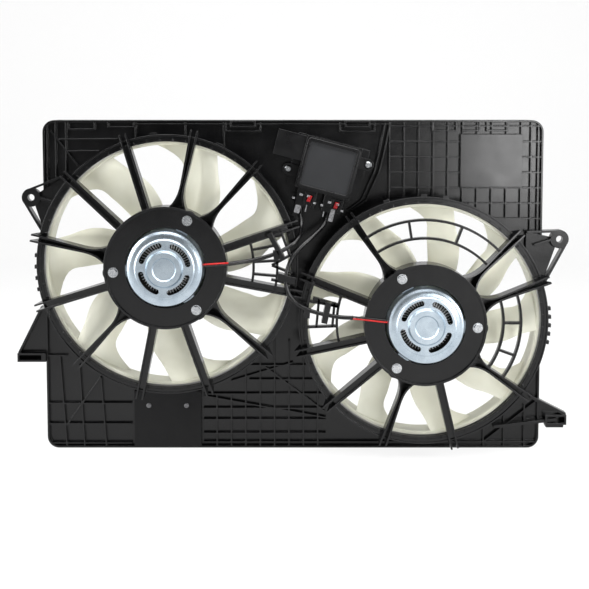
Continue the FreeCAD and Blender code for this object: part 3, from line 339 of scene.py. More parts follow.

# %% [markdown]
# ## Metals
# The motor cans are drawn steel with a blue-white zinc plate, which has a faint mottle and fine
# lines from the press. The shafts are ground, the bushes are oily bronze, and the commutators
# and windings are copper. The windings' finish is darker than copper, as painted shade for the
# inside of the can's slots, and the light patches of its mottle are painted glints. They share
# one recipe with different numbers.

# %% Metal finishes
def metal(name, dark, light, rough_low, rough_high, mottle, line_scale=900.0, line_depth=0.00003):
    """A metal with a cloudy tone and fine lines; on the winding the cloud is painted shade and
    glints.
    """
    g = Graph(name)
    cloud = g.noise(mottle, 4.0)
    lines = g.noise(line_scale, 2.0)
    g.set(colour=g.ramp(cloud, dark, light, 0.3, 0.7), metallic=1.0,
          roughness=g.ramp(lines, rough_low, rough_high, 0.3, 0.7),
          normal=g.bump(lines, line_depth, 0.5))
    return g.material


metal("zinc_steel", srgb(166, 179, 190), srgb(190, 202, 211), 0.26, 0.34, 60.0, 900.0, 0.00001)
metal("bolt_zinc", srgb(168, 171, 174), srgb(204, 206, 208), 0.18, 0.3, 400.0)
metal("steel", srgb(150, 150, 152), srgb(185, 185, 187), 0.25, 0.4, 300.0)
metal("sintered_bronze", srgb(140, 98, 52), srgb(176, 130, 76), 0.45, 0.6, 900.0)
metal("copper", srgb(178, 112, 68), srgb(214, 148, 98), 0.3, 0.45, 300.0)
# The winding runs from dark brown to light gold: the dark is painted shade for the can's slots, and
# the light patches are painted glints.
metal("winding", srgb(58, 34, 14), srgb(176, 128, 62), 0.32, 0.5, 260.0)
print("metal finishes:", [n for n in MATERIALS if "plastic" not in n and n != "paper"])

# %% [markdown]
# ## Small plastics, rubber and wire
# These finishes differ in colour, in how much they shine and in how coarse their grain is, so
# one function makes them all from those numbers.

# %% Plastic, rubber and wire finishes
def moulded(name, dark, light, rough, grain_scale=1200.0, grain_depth=0.00004, gloss=0.4,
            edge=0.0, patch=60.0):
    """A plastic, rubber or ferrite whose tone drifts between dark and light."""
    g = Graph(name)
    cloud = g.noise(patch, 3.0)
    grain = g.noise(grain_scale, 2.0)
    g.set(colour=g.ramp(cloud, dark, light), roughness=g.ramp(cloud, rough - 0.05, rough + 0.05),
          specular=gloss, normal=g.bump(grain, grain_depth, 0.6, edge))
    return g.material


moulded("module_plastic", srgb(5, 5, 6), srgb(9, 9, 10), 0.3, gloss=0.3, edge=0.0007)
moulded("module_grey", srgb(27, 28, 30), srgb(32, 33, 35), 0.62, 900.0, 0.00008, gloss=0.3)
moulded("plug_plastic", srgb(5, 5, 6), srgb(8, 8, 9), 0.3, gloss=0.25, edge=0.0006)
# pale grey for the small blocks on each plug's front
moulded("pale_block_grey", srgb(98, 98, 100), srgb(138, 138, 140), 0.45, patch=500.0)
moulded("lock_red", srgb(118, 8, 14), srgb(150, 16, 22), 0.3)
moulded("sleeve_plastic", srgb(6, 6, 7), srgb(11, 11, 12), 0.24, 500.0, 0.0002)
moulded("wire_red", srgb(160, 14, 14), srgb(184, 24, 22), 0.35, 600.0)
moulded("wire_black", srgb(16, 16, 17), srgb(24, 24, 25), 0.35, 600.0)
moulded("flap_rubber", srgb(9, 9, 10), srgb(13, 13, 14), 0.72, 1500.0, 0.00012, gloss=0.25)
moulded("peg_plastic", srgb(70, 70, 72), srgb(88, 88, 90), 0.45)
moulded("board", srgb(18, 70, 40), srgb(26, 92, 52), 0.4)
moulded("ferrite", srgb(38, 38, 41), srgb(52, 52, 55), 0.7)
moulded("carbon", srgb(30, 30, 30), srgb(42, 42, 42), 0.65)
moulded("holder_plastic", srgb(26, 24, 22), srgb(36, 34, 31), 0.55)
print(len(MATERIALS), "materials")

# %% [markdown]
# ## Rounded edges and smooth curves
# CAD corners are perfectly sharp, and nothing real is. A small Geometry Nodes tree merges the
# loose triangles and shades them smooth up to a limit angle. A planar Decimate takes out the
# lines inside flat faces, and a Bevel rounds what is left. The round is a fraction of a
# millimetre, and the bright lines it catches make moulded plastic look moulded. These
# modifiers sit on the CAD nodes, and their meshes stay as they are.

# %% Edge modifiers
SMOOTH_LIMIT = math.radians(32)
FLAT_LIMIT = math.radians(0.5)
MERGE_REACH = 0.002 * MM
BEVEL_STEPS = 2


def smooth_tree():
    """Merge loose triangles and shade them smooth up to a limit angle."""
    tree = bpy.data.node_groups.new("smooth_shade", "GeometryNodeTree")
    tree.interface.new_socket("Geometry", in_out="INPUT", socket_type="NodeSocketGeometry")
    tree.interface.new_socket("Geometry", in_out="OUTPUT", socket_type="NodeSocketGeometry")
    start, end = tree.nodes.new("NodeGroupInput"), tree.nodes.new("NodeGroupOutput")
    merge = tree.nodes.new("GeometryNodeMergeByDistance")
    merge.inputs["Distance"].default_value = MERGE_REACH
    angle = tree.nodes.new("GeometryNodeInputMeshEdgeAngle")
    sharp = tree.nodes.new("FunctionNodeCompare")
    sharp.inputs["B"].default_value = SMOOTH_LIMIT
    faces = tree.nodes.new("GeometryNodeSetShadeSmooth")
    edges = tree.nodes.new("GeometryNodeSetShadeSmooth")
    edges.domain = "EDGE"
    edges.inputs["Shade Smooth"].default_value = False
    link = tree.links.new
    link(start.outputs[0], merge.inputs["Geometry"])
    link(merge.outputs[0], faces.inputs["Geometry"])
    link(faces.outputs[0], edges.inputs["Geometry"])
    link(angle.outputs["Unsigned Angle"], sharp.inputs["A"])
    link(sharp.outputs[0], edges.inputs["Selection"])
    link(edges.outputs[0], end.inputs[0])
    return tree


SMOOTH = smooth_tree()


def round_edges(obj, width):
    """Smooth shading, and a round of the given width on every sharp edge."""
    modifier = obj.modifiers.new("smooth", "NODES")
    modifier.node_group = SMOOTH
    if width:
        flat = obj.modifiers.new("flat", "DECIMATE")
        flat.decimate_type = "DISSOLVE"
        flat.angle_limit = FLAT_LIMIT
        bevel = obj.modifiers.new("bevel", "BEVEL")
        bevel.width = width
        bevel.segments = BEVEL_STEPS
        bevel.limit_method = "ANGLE"
        bevel.angle_limit = SMOOTH_LIMIT
        bevel.use_clamp_overlap = True
        bevel.harden_normals = True


# widths in millimetres, by the node's name or its name without the side
BEVELS = {"shroud_panel": 0.7, "barrel": 0.7, "spider": 0.7, "module_base": 0.4,
          "module_cover": 0.3, "plug": 0.3, "lead_clip": 0.4, "motor_bolts": 0.2}
for name, obj in nodes.items():
    kind = name if name in BEVELS else name.split("_", 1)[1]
    round_edges(obj, BEVELS.get(kind, 0) * MM)
print("modifiers on", len(nodes), "nodes")

# %% [markdown]
# ## Dress the CAD nodes
# The record says which finish each node has. The node's own material slots are filled with the
# finish of that name.

# %% Assign the finishes
for part in frame["record"]["subparts"]:
    obj = nodes[part["node"]]
    slots = obj.data.materials
    if not slots:
        slots.append(None)
    for i in range(len(slots)):
        slots[i] = MATERIALS[part["material_slot"]]
print("dressed", len(nodes), "nodes")

# %% [markdown]
# ## Turned forms
# Hubs, rings and lips are turned forms: an outline swept once round the fan's axis. A short
# function does it in mesh code, so that the outline reads like the list of radii and depths on
# a drawing. Another function bakes what the modifiers made into a plain mesh.

# %% Turning and baking
HUB_STEPS, RING_STEPS = 120, 180


def turned(name, outline, material, steps=HUB_STEPS):
    """A closed outline of (radius, depth) in millimetres, swept round the Y axis."""
    count = len(outline)
    verts = []
    for i in range(steps):
        a = 2 * math.pi * i / steps
        verts += [(r * math.cos(a) * MM, y * MM, r * math.sin(a) * MM) for r, y in outline]
    faces = []
    for i in range(steps):
        here, there = i * count, (i + 1) % steps * count
        for k in range(count):
            n = (k + 1) % count
            faces.append((here + k, there + k, there + n, here + n))
    return made(name, verts, faces, material)


def made(name, verts, faces, material):
    """A mesh object in the scene, with its normals facing outwards."""
    mesh = bpy.data.meshes.new(name)
    mesh.from_pydata(verts, [], faces)
    mesh.materials.append(MATERIALS[material])
    form = bmesh.new()
    form.from_mesh(mesh)
    bmesh.ops.recalc_face_normals(form, faces=form.faces)
    form.to_mesh(mesh)
    form.free()
    obj = bpy.data.objects.new(name, mesh)
    bpy.context.scene.collection.objects.link(obj)
    return obj


def baked(obj):
    """Turn what an object's modifiers make into its plain mesh."""
    shape = obj.evaluated_get(bpy.context.evaluated_depsgraph_get())
    mesh = bpy.data.meshes.new_from_object(shape)
    obj.modifiers.clear()
    obj.data = mesh
    return obj


def joined(name, pieces, centre=None):
    """Join plain meshes into one object and put it in its place."""
    form = bmesh.new()
    for piece in pieces:
        form.from_mesh(piece.data)
    mesh = bpy.data.meshes.new(name)
    mesh.materials.append(pieces[0].data.materials[0])
    if centre:
        bmesh.ops.translate(form, verts=form.verts, vec=centre)
    form.to_mesh(mesh)
    form.free()
    for piece in pieces:
        bpy.data.objects.remove(piece)
    obj = bpy.data.objects.new(name, mesh)
    bpy.context.scene.collection.objects.link(obj)
    return obj


print("turned forms ready")

# %% [markdown]
# ## One tree for all that repeats round an axis
# Fan blades, the teeth inside a barrel and the turns of a winding are each one shape repeated
# round an axis. A single Geometry Nodes tree does them all. It takes the shape, its material, how
# many there are, the angle of the first one and the angle from one to the next. Copying the
# mesh in a loop would also work, but here the count stays a number that can be changed.

# %% The repeating tree
def around_tree():
    """The node tree that repeats a shape round the Y axis."""
    tree = bpy.data.node_groups.new("around_axis", "GeometryNodeTree")
    face = tree.interface
    face.new_socket("Geometry", in_out="OUTPUT", socket_type="NodeSocketGeometry")
    face.new_socket("Geometry", in_out="INPUT", socket_type="NodeSocketGeometry")
    for label, kind in (("Shape", "Object"), ("Count", "Int"), ("First", "Float"),
                        ("Step", "Float"), ("Material", "Material")):
        face.new_socket(label, in_out="INPUT", socket_type="NodeSocket" + kind)
    add, link = tree.nodes.new, tree.links.new
    start, end = add("NodeGroupInput"), add("NodeGroupOutput")
    line = add("GeometryNodeMeshLine")
    line.inputs["Offset"].default_value = (0, 0, 0)
    shape = add("GeometryNodeObjectInfo")
    turn = add("ShaderNodeMath")
    turn.operation = "MULTIPLY_ADD"
    flip = add("ShaderNodeMath")
    flip.operation = "MULTIPLY"
    flip.inputs[1].default_value = -1.0
    angles = add("ShaderNodeCombineXYZ")
    place = add("GeometryNodeInstanceOnPoints")
    real = add("GeometryNodeRealizeInstances")
    paint = add("GeometryNodeSetMaterial")
    link(start.outputs["Count"], line.inputs["Count"])
    link(start.outputs["Shape"], shape.inputs["Object"])
    link(add("GeometryNodeInputIndex").outputs[0], turn.inputs[0])
    link(start.outputs["Step"], turn.inputs[1])
    link(start.outputs["First"], turn.inputs[2])
    link(turn.outputs[0], flip.inputs[0])
    link(flip.outputs[0], angles.inputs["Y"])
    link(line.outputs["Mesh"], place.inputs["Points"])
    link(shape.outputs["Geometry"], place.inputs["Instance"])
    link(angles.outputs[0], place.inputs["Rotation"])
    link(place.outputs[0], real.inputs[0])
    link(real.outputs[0], paint.inputs["Geometry"])
    link(start.outputs["Material"], paint.inputs["Material"])
    link(paint.outputs[0], end.inputs[0])
    return tree


AROUND = around_tree()


def around(name, shape, count, first, step, material):
    """The shape repeated round the Y axis; the angles are degrees from +X towards +Z."""
    obj = bpy.data.objects.new(name, bpy.data.meshes.new(name))
    bpy.context.scene.collection.objects.link(obj)
    modifier = obj.modifiers.new("around", "NODES")
    modifier.node_group = AROUND
    values = {"Shape": shape, "Count": count, "First": math.radians(first),
              "Step": math.radians(step), "Material": MATERIALS[material]}
    for item in AROUND.interface.items_tree:
        if item.in_out == "INPUT" and item.name in values:
            modifier[item.identifier] = values[item.name]
    baked(obj)
    bpy.data.objects.remove(shape)
    return obj


print("tree inputs:", [i.name for i in AROUND.interface.items_tree if i.in_out == "INPUT"])

# %% [markdown]
# ## Fan blades
# A blade is a twisted, cambered sheet with swept edges: broad, thin at its edges and thicker in
# the middle, like a wing. Its two edges are rows of angles, read from the hub out to the ring.
# Between them a grid of points is laid, and each point's depth comes from the pitch, which is
# steep at the hub and flatter at the tip. This shape replaces the CAD fan, whose blades are a
# little narrower.

# %% Blade form
FAN_ROWS = {"left": (7, (-11.0, -5.8, 0.7, 9.3, 14.6), (26.3, 27.6, 28.9, 31.4, 46.0)),
            "right": (9, (-27.7, -22.0, -16.0, -9.0, -5.0), (2.3, 4.6, 6.4, 7.8, 18.0))}
PITCH_HUB, PITCH_TIP = 30.0, 15.0
BLADE_THICK, BLADE_EDGE = 2.6, 0.9
CAMBER = 6.0
CAMBER_REACH = 75.0
RING_WIDTH = 4.5
RING_FRONT, RING_BACK = -42.0, -12.0
HUB_RADIUS, HUB_FRONT, HUB_WALL = 66.0, -46.0, 3.0
BOSS_RADIUS, SHAFT_RADIUS = 11.0, 4.0
BLADE_INSET = 2.0
SMALL_ROUND = 0.5
RING_LEAD = (1.5, 2.0)       # how far the ring's inner edge flares, across and in depth
HUB_ROUND, HUB_CORNER = 4.0, 1.2
BOSS_LENGTH, FLOOR_ROUND = 4.0, 2.0
RADIAL_STEPS, CHORD_STEPS = 20, 20


def along_row(row, share):
    """Smooth curve through evenly spaced values (Catmull-Rom)."""
    steps = len(row) - 1
    i = min(int(share * steps), steps - 1)
    t = share * steps - i
    p1, p2 = row[i], row[i + 1]
    p0 = row[i - 1] if i else 2 * p1 - p2
    p3 = row[i + 2] if i + 2 <= steps else 2 * p2 - p1
    return 0.5 * (2 * p1 + (p2 - p0) * t + (2 * p0 - 5 * p1 + 4 * p2 - p3) * t * t
                  + (3 * p1 - p0 - 3 * p2 + p3) * t ** 3)


def blade(side, first, second, root, tip):
    """A blade between two rows of angles, kept a little inside the ring's two faces."""
    verts = []
    for face in (-1, 1):
        for i in range(RADIAL_STEPS + 1):
            share = i / RADIAL_STEPS
            r = root + (tip - root) * share
            a0, a1 = along_row(first, share), along_row(second, share)
            pitch = math.radians(PITCH_HUB + (PITCH_TIP - PITCH_HUB) * share)
            for k in range(CHORD_STEPS + 1):
                across = k / CHORD_STEPS
                a = math.radians(a0 + (a1 - a0) * across)
                t = r * math.sin(a - math.radians((a0 + a1) / 2))
                bow = CAMBER * (1 - (t / CAMBER_REACH) ** 2)
                swell = math.sqrt(4 * across * (1 - across))
                thick = BLADE_EDGE + (BLADE_THICK - BLADE_EDGE) * swell
                y = (RING_FRONT + RING_BACK) / 2 + t * math.tan(pitch) - bow * math.cos(pitch)
                y = min(max(y, RING_FRONT + BLADE_INSET), RING_BACK - BLADE_INSET)
                y += face * thick / 2
                verts.append((r * math.cos(a) * MM, y * MM, r * math.sin(a) * MM))
    row = CHORD_STEPS + 1
    size = (RADIAL_STEPS + 1) * row
    faces = []
    for i in range(RADIAL_STEPS):
        for k in range(CHORD_STEPS):
            p = i * row + k
            faces.append((p, p + 1, p + row + 1, p + row))
            faces.append((size + p, size + p + row, size + p + row + 1, size + p + 1))
        for p in (i * row, i * row + CHORD_STEPS):
            faces.append((p, p + row, size + p + row, size + p))
    for k in range(CHORD_STEPS):
        for p in (k, RADIAL_STEPS * row + k):
            faces.append((p, p + 1, size + p + 1, size + p))
    obj = made(side + "_blade", verts, faces, "fan_plastic")
    obj.data.shade_smooth()
    return obj


def fan_wheel(side):
    """Blades, ring and hub as one piece, in the place of the CAD fan."""
    count, first, second = FAN_ROWS[side]
    low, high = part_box(side + "_fan")
    outer = (high.x - low.x) / 2 / MM
    back = high.y / MM
    inner = outer - RING_WIDTH
    root, tip = HUB_RADIUS - HUB_WALL / 2, inner + RING_WIDTH / 2
    blades = around(side + "_blades", blade(side, first, second, root, tip), count, 0, 360 / count,
                    "fan_plastic")
    flare, lead = RING_LEAD
    e = SMALL_ROUND
    ring = turned(side + "_ring", [(inner, RING_BACK - e), (inner, RING_FRONT + lead),
                                   (inner + flare, RING_FRONT), (outer - e, RING_FRONT),
                                   (outer, RING_FRONT + e), (outer, RING_BACK - e),
                                   (outer - e, RING_BACK), (inner + e, RING_BACK)],
                  "fan_plastic", RING_STEPS)
    inside = HUB_RADIUS - HUB_WALL
    floor = RING_BACK - HUB_WALL
    boss = floor - BOSS_LENGTH
    hub = turned(side + "_hub", [(HUB_RADIUS, HUB_FRONT), (HUB_RADIUS, RING_BACK - HUB_ROUND),
                                 (HUB_RADIUS - HUB_CORNER, RING_BACK - HUB_CORNER),
                                 (HUB_RADIUS - HUB_ROUND, RING_BACK), (BOSS_RADIUS, RING_BACK),
                                 (BOSS_RADIUS, back - e), (BOSS_RADIUS - e, back),
                                 (SHAFT_RADIUS, back), (SHAFT_RADIUS, boss),
                                 (BOSS_RADIUS, boss), (BOSS_RADIUS, floor),
                                 (inside - FLOOR_ROUND, floor), (inside, floor - FLOOR_ROUND),
                                 (inside, HUB_FRONT)], "fan_plastic")
    wheel = joined(side + "_fan_wheel", [blades, ring, hub], AXIS[side])
    wheel.data.shade_smooth()
    wheel.data.set_sharp_from_angle(angle=SMOOTH_LIMIT)
    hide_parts(side + "_fan")
    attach(wheel, side + "_rotor")
    return wheel


for side in AXIS:
    wheel = fan_wheel(side)
    print(wheel.name, len(wheel.data.polygons), "faces")

# %% [markdown]
# ## Lips and teeth of the barrels
# The front edge of each barrel turns in by a few millimetres, down to the radius of the fan's
# ring, so that little air slips back round the blade tips. Short radial teeth stiffen that lip,
# and a few broader tabs stand outside it. The lip is a turned form, and the teeth are one small
# wedge repeated round the axis. The tabs are wedges too, alone or in short rows.

# %% Barrel lips
LIP_FRONT, LIP_BACK = -50.0, -47.0
LIP_WIDTH, LIP_ROUND, LIP_CORNER = 3.6, 0.6, 0.4
TEETH_FROM = 0.5         # teeth start this far outside the lip's inner edge
TOOTH_STANDS = 0.8
TAB_LENGTH, TAB_STANDS, TAB_SINKS = 5.0, 1.5, 2.0
SLAB_BEVEL = 0.4         # bevel along the front of bars and slabs
TEETH, FIRST_TOOTH = 60, 3
TOOTH_LENGTH, TOOTH_WIDTH = 4.0, 1.4
# first angle, count, step, width in millimetres, start outside the lip's inner edge
LIP_TABS = {"left": ((95.6, 1, 0, 9, 7.0), (66.5, 1, 0, 9, 7.0), (175.7, 4, 5.0, 5, 7.0)),
            "right": ((107.4, 1, 0, 8, 8.0), (90.2, 1, 0, 8, 8.0), (80.2, 1, 0, 8, 8.0),
                      (68.4, 1, 0, 8, 8.0), (-9.7, 5, 3.9, 5, 8.0))}


def wedge(name, r0, r1, width, y0, y1, material):
    """A bar along the radius with a bevelled front."""
    low, high = -width / 2 * MM, width / 2 * MM
    b = min(SLAB_BEVEL, width / 4) * MM
    outline = [(low, y1 * MM), (low, y0 * MM + b), (low + b, y0 * MM), (high - b, y0 * MM),
               (high, y0 * MM + b), (high, y1 * MM)]
    verts = [(r0 * MM, y, z) for z, y in outline] + [(r1 * MM, y, z) for z, y in outline]
    count = len(outline)
    faces = [(k, (k + 1) % count, count + (k + 1) % count, count + k) for k in range(count)]
    faces += [tuple(range(count)), tuple(range(2 * count - 1, count - 1, -1))]
    return made(name, verts, faces, material)


def barrel_lip(side):
    """The lip, teeth and tabs of one barrel as one piece."""
    low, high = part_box(side + "_fan")
    inner = (high.x - low.x) / 2 / MM
    outer = inner + LIP_WIDTH
    lip = turned(side + "_lip", [(inner, LIP_FRONT + LIP_ROUND), (inner + LIP_ROUND, LIP_FRONT),
                                 (outer, LIP_FRONT), (outer, LIP_BACK),
                                 (inner + LIP_CORNER, LIP_BACK),
                                 (inner, LIP_BACK - LIP_CORNER)], "shroud_plastic", RING_STEPS)
    start = inner + TEETH_FROM
    tooth = wedge("tooth", start, start + TOOTH_LENGTH, TOOTH_WIDTH, LIP_FRONT - TOOTH_STANDS,
                  LIP_BACK, "shroud_plastic")
    teeth = around(side + "_teeth", tooth, TEETH, FIRST_TOOTH, 360 / TEETH, "shroud_plastic")
    extras = []
    for first, count, step, wide, r0 in LIP_TABS[side]:
        tab = wedge("tab", inner + r0, inner + r0 + TAB_LENGTH, wide, LIP_FRONT - TAB_STANDS,
                    LIP_BACK + TAB_SINKS, "shroud_plastic")
        extras.append(around("tabs", tab, count, first, step, "shroud_plastic"))
    piece = joined(side + "_barrel_lip", [lip, teeth] + extras, AXIS[side])
    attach(piece, "shroud")
    return piece


for side in AXIS:
    print(barrel_lip(side).name)

# %% [markdown]
# ## Winding
# Through the slots of a motor's can one sees the turns of its winding. Each turn here is an arch
# of wire over the core's front, repeated round the axis.

# %% Winding turns
TURNS = 54
TURN_RADIUS = 0.9
TURN_FROM, TURN_TO = 24.0, 37.0
TURN_FRONT, TURN_BACK = -71.0, -65.0


def winding_turn():
    """One arch of wire over the core."""
    line = bpy.data.curves.new("turn", "CURVE")
    line.dimensions = "3D"
    line.bevel_depth = TURN_RADIUS * MM
    line.bevel_resolution = 2
    line.resolution_u = 4
    line.use_fill_caps = True
    points = ((TURN_FROM, TURN_BACK, -1), (TURN_FROM + 1, TURN_FRONT, -0.5),
              (TURN_TO - 2, TURN_FRONT, 0.8), (TURN_TO - 1.2, TURN_BACK, 1.4))
    run = line.splines.new("NURBS")
    run.points.add(len(points) - 1)
    for point, (x, y, z) in zip(run.points, points):
        point.co = (x * MM, y * MM, z * MM, 1.0)
    run.order_u = 3
    run.use_endpoint_u = True
    curve = bpy.data.objects.new("turn_line", line)
    bpy.context.scene.collection.objects.link(curve)
    shape = curve.evaluated_get(bpy.context.evaluated_depsgraph_get())
    turn = bpy.data.objects.new("turn", bpy.data.meshes.new_from_object(shape))
    bpy.context.scene.collection.objects.link(turn)
    bpy.data.objects.remove(curve)
    return turn


for side in AXIS:
    # The turns take the winding finish, whose dark brown is painted shade and whose light patches
    # are painted glints.
    turns = around(side + "_turns", winding_turn(), TURNS, 0, 360 / TURNS, "winding")
    piece = joined(side + "_winding_turns", [turns], AXIS[side])
    piece.data.shade_smooth()
    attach(piece, side + "_rotor")
    print(piece.name, len(piece.data.polygons), "faces")

# %% [markdown]
# ## Clips and cable grids
# The leads are held on small grids by moulded clips. A clip is a short bar that crosses a lead
# and stands in front of the grid, and thinner bars complete the grid. Each bar is given by the
# fan whose axis it is measured from, and the radius and angle of its two ends.

# %% Clips
CLIP_FRONT, GRID_FRONT, GRID_BACK = -73.5, -63.0, -56.0
# fan, radius and angle of one end, radius and angle of the other, width, front
GRID_BARS = (("left", 142.0, 18.5, 152.4, 4.5, 6.6, CLIP_FRONT),
             ("left", 146.0, -4.6, 169.0, -6.0, 9.0, CLIP_FRONT),
             ("left", 156.5, 18.0, 162.0, 5.0, 3.2, GRID_FRONT),
             ("left", 143.0, 17.0, 157.0, 16.0, 8.0, GRID_FRONT),
             ("left", 138.0, 0.6, 164.5, 5.5, 3.2, GRID_FRONT),
             ("left", 138.0, 0.6, 164.5, -3.2, 3.2, GRID_FRONT),
             ("left", 138.0, -7.2, 164.5, -8.2, 3.2, GRID_FRONT),
             ("right", 129.3, 167.0, 131.8, 179.2, 7.7, CLIP_FRONT),
             ("right", 150.0, 167.5, 115.0, 168.7, 5.5, GRID_FRONT),
             ("right", 142.0, 167.0, 142.0, 182.5, 3.2, GRID_FRONT),
             ("right", 121.0, 167.0, 121.0, 182.5, 3.2, GRID_FRONT))


def round_axis(side, r, angle):
    """The point at a radius and an angle in degrees from a fan's axis, in millimetres."""
    a = math.radians(angle)
    return AXIS[side] / MM + Vector((r * math.cos(a), 0, r * math.sin(a)))


def clip_bar(number, side, r0, a0, r1, a1, width, front):
    """A bar between two points that are given round a fan's axis."""
    p0, p1 = round_axis(side, r0, a0), round_axis(side, r1, a1)
    piece = wedge("bar_%d" % number, 0, (p1 - p0).length, width, front, GRID_BACK, "shroud_plastic")
    angle = math.atan2(p1.z - p0.z, p1.x - p0.x)
    for vert in piece.data.vertices:
        x, y, z = vert.co
        vert.co = (p0.x * MM + x * math.cos(angle) - z * math.sin(angle), y,
                   p0.z * MM + x * math.sin(angle) + z * math.cos(angle))
    return piece


bars = joined("lead_clips", [clip_bar(i, *row) for i, row in enumerate(GRID_BARS)])
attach(bars, "shroud")
print("lead clips:", len(GRID_BARS), "bars")

# %% [markdown]
# ## The rubber flap
# The flap is one sheet of rubber that hangs from two pegs. When the car is fast, air pushes it
# open and it bends along a line below the pegs. Here the sheet is made flat, in the place of the
# CAD flap's strip and leaf.

# %% Flap sheet
FLAP_ROWS = 40
FLAP_EDGE = 0.5


def flap_sheet():
    """One sheet, in rows from the flap's lower edge up to the top of the strip."""
    top_low, top_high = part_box("flap_strip")
    low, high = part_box("flap_leaf")
    y0, y1 = low.y, high.y
    edge = FLAP_EDGE * MM
    outline = [(low.x, y1), (low.x, y0 + edge), (low.x + edge, y0), (high.x - edge, y0),
               (high.x, y0 + edge), (high.x, y1)]
    count = len(outline)
    verts, faces = [], []
    for i in range(FLAP_ROWS + 1):
        z = low.z + (top_high.z - low.z) * i / FLAP_ROWS
        verts += [(x, y, z) for x, y in outline]
    for i in range(FLAP_ROWS):
        a, b = i * count, (i + 1) * count
        faces += [(a + k, a + (k + 1) % count, b + (k + 1) % count, b + k) for k in range(count)]
    faces += [tuple(range(count)), tuple(range(len(verts) - 1, len(verts) - count - 1, -1))]
    sheet = made("flap_sheet", verts, faces, "flap_rubber")
    bend = (low + high) / 2
    bend.z = (high.z + top_low.z) / 2
    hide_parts("flap_strip", "flap_leaf")
    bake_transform(sheet)
    return sheet


print(flap_sheet().name, "bends at z", round((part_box("flap_leaf")[1].z) / MM, 1), "mm")

# %% [markdown]
# ## The module's rim, pale blocks and locks
# The control module's grey cover sits inside a black rim. Each plug has small pale grey blocks on
# its front, taller ones below it, and a slim red lock. These forms lie on the turned face of the
# module, so they are laid out in its own directions, across and up, and then put in place.

# %% Module details
MODULE_TURN = math.radians(14.7)
ACROSS = Vector((math.cos(MODULE_TURN), 0, -math.sin(MODULE_TURN)))
UP = Vector((math.sin(MODULE_TURN), 0, math.cos(MODULE_TURN)))
CORNER_STEPS = 6


def slab(name, centre, outline, y0, y1, material):
    """An outline of (across, up) in millimetres round a centre, with a bevelled front."""
    count = len(outline)
    mid = (sum(u for u, v in outline) / count, sum(v for u, v in outline) / count)
    verts = []
    for depth, inset in ((y1, 0.0), (y0 + SLAB_BEVEL, 0.0), (y0, SLAB_BEVEL)):
        for u, v in outline:
            du, dv = u - mid[0], v - mid[1]
            k = 1 - inset / max(math.hypot(du, dv), 1.0)
            point = centre + (ACROSS * (mid[0] + du * k) + UP * (mid[1] + dv * k)) * MM
            verts.append((point.x, depth * MM, point.z))
    faces = [tuple(range(count)), tuple(range(3 * count - 1, 2 * count - 1, -1))]
    for ring in (0, count):
        for k in range(count):
            n = (k + 1) % count
            faces.append((ring + k, ring + n, ring + count + n, ring + count + k))
    return made(name, verts, faces, material)


def box_outline(u0, u1, v0, v1, lean=0.0):
    """A box whose upper edge leans to one side."""
    return [(u0, v0), (u1, v0), (u1 + lean, v1), (u0 + lean, v1)]


def rim_outline(width, height, corner):
    """A box with rounded corners."""
    points = []
    for cu, cv, start in ((1, 1, 0), (-1, 1, 90), (-1, -1, 180), (1, -1, 270)):
        for i in range(CORNER_STEPS + 1):
            a = math.radians(start + 90 * i / CORNER_STEPS)
            points.append((cu * (width / 2 - corner) + corner * math.cos(a),
                           cv * (height / 2 - corner) + corner * math.sin(a)))
    return points


# width, height and corner radius
RIM_OUT, RIM_IN = (72.0, 67.5, 5.0), (63.6, 59.4, 3.0)
RIM_BACK, RIM_SIDE, RIM_FRONT, RIM_ROUND = 1.6, -0.3, -0.9, 1.2


def cover_rim():
    """A closed frame round the cover: back, side and rounded front, out and then in."""
    centre = middle("module_cover")
    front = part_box("module_cover")[0].y / MM
    verts, faces = [], []
    rings = ((RIM_OUT, RIM_BACK, 0), (RIM_OUT, RIM_SIDE, 0), (RIM_OUT, RIM_FRONT, -RIM_ROUND),
             (RIM_IN, RIM_FRONT, RIM_ROUND), (RIM_IN, RIM_SIDE, 0), (RIM_IN, RIM_BACK, 0))
    for (width, height, corner), stands, grow in rings:
        for u, v in rim_outline(width + grow, height + grow, corner + grow / 2):
            point = centre + (ACROSS * u + UP * v) * MM
            verts.append((point.x, (front + stands) * MM, point.z))
    count = len(verts) // len(rings)
    for ring in range(len(rings)):
        a, b = ring * count, (ring + 1) % len(rings) * count
        faces += [(a + k, a + (k + 1) % count, b + (k + 1) % count, b + k) for k in range(count)]
    rim = made("module_rim", verts, faces, "module_plastic")
    rim.data.shade_smooth()
    rim.data.set_sharp_from_angle(angle=SMOOTH_LIMIT)
    return rim
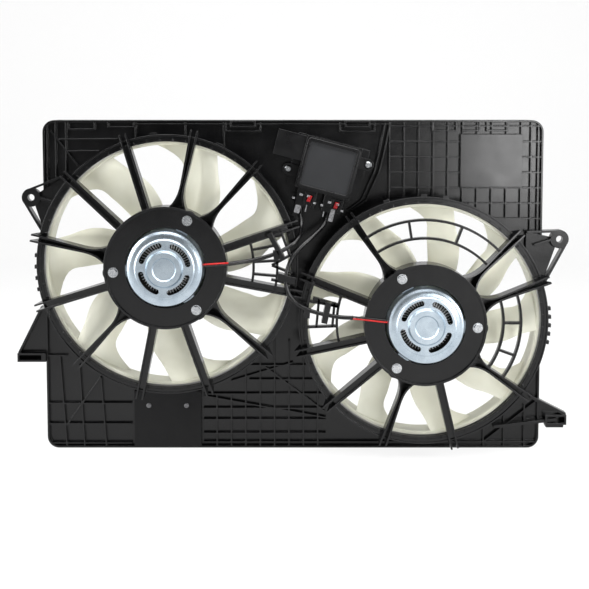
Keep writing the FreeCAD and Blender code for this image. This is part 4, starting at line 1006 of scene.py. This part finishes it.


# each block: across from the plug's middle, up from its top edge, width and height; a tall one
# sits further back
PLUG_HALF_HEIGHT = 11.5
PALE_BLOCK_DEPTH, PALE_BLOCK_STANDS, TALL_BLOCK_SINKS, TALL_BLOCK_FROM = 2.4, 1.4, 3.0, 5.0
PALE_BLOCKS = {"left": ((-7.2, -10.5, 4.5, 3), (3, -10.1, 4.5, 3), (-16.0, -17.2, 3.5, 2.5),
                    (12.9, -17, 3.5, 2.5), (-7.1, -27.6, 7.4, 17.2), (3.8, -27.0, 1.5, 10)),
           "right": ((-4.9, -11.1, 4.5, 3), (6, -11, 4.5, 3), (-14.0, -17.5, 3.5, 2.5),
                     (14.0, -18.2, 3.5, 2.5), (2.4, -27.6, 6.1, 17.2), (-8.8, -27.5, 1.5, 10))}


def pale_blocks(side):
    """Pale grey blocks on a plug's front, and taller ones that hang below it."""
    centre = middle(side + "_plug")
    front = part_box(side + "_plug")[0].y / MM
    pieces = []
    for u, from_top, width, height in PALE_BLOCKS[side]:
        v = PLUG_HALF_HEIGHT + from_top
        outline = box_outline(u - width / 2, u + width / 2, v - height / 2, v + height / 2)
        y0 = front + TALL_BLOCK_SINKS if height > TALL_BLOCK_FROM else front - PALE_BLOCK_STANDS
        pieces.append(slab("catch", centre, outline, y0, y0 + PALE_BLOCK_DEPTH, "pale_block_grey"))
    piece = joined(side + "_catches", pieces)
    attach(piece, "shroud")
    return piece


SLIDE_OUTLINE = box_outline(-3.0, 2.0, -4.4, 4.4, 1.2)
RIDGES_AT, RIDGE_HALF, RIDGE_STANDS = (-2.2, 0.0, 2.2), 0.5, 0.6


def lock_slide(side):
    """A slim slanted slide with three grip ridges."""
    centre = middle(side + "_plug_lock")
    low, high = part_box(side + "_plug_lock")
    back, front = high.y / MM, low.y / MM
    pieces = [slab("slide", centre, SLIDE_OUTLINE, front + RIDGE_STANDS, back, "lock_red")]
    for v in RIDGES_AT:
        ridge = box_outline(-2.2, 1.9, v - RIDGE_HALF, v + RIDGE_HALF, 0.2)
        pieces.append(slab("ridge", centre, ridge, front, front + 2 * RIDGE_STANDS, "lock_red"))
    piece = joined(side + "_lock_slide", pieces)
    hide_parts(side + "_plug_lock")
    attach(piece, side + "_lock")
    return piece


rim = cover_rim()
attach(rim, "shroud")
for side in AXIS:
    print(pale_blocks(side).name, lock_slide(side).name)
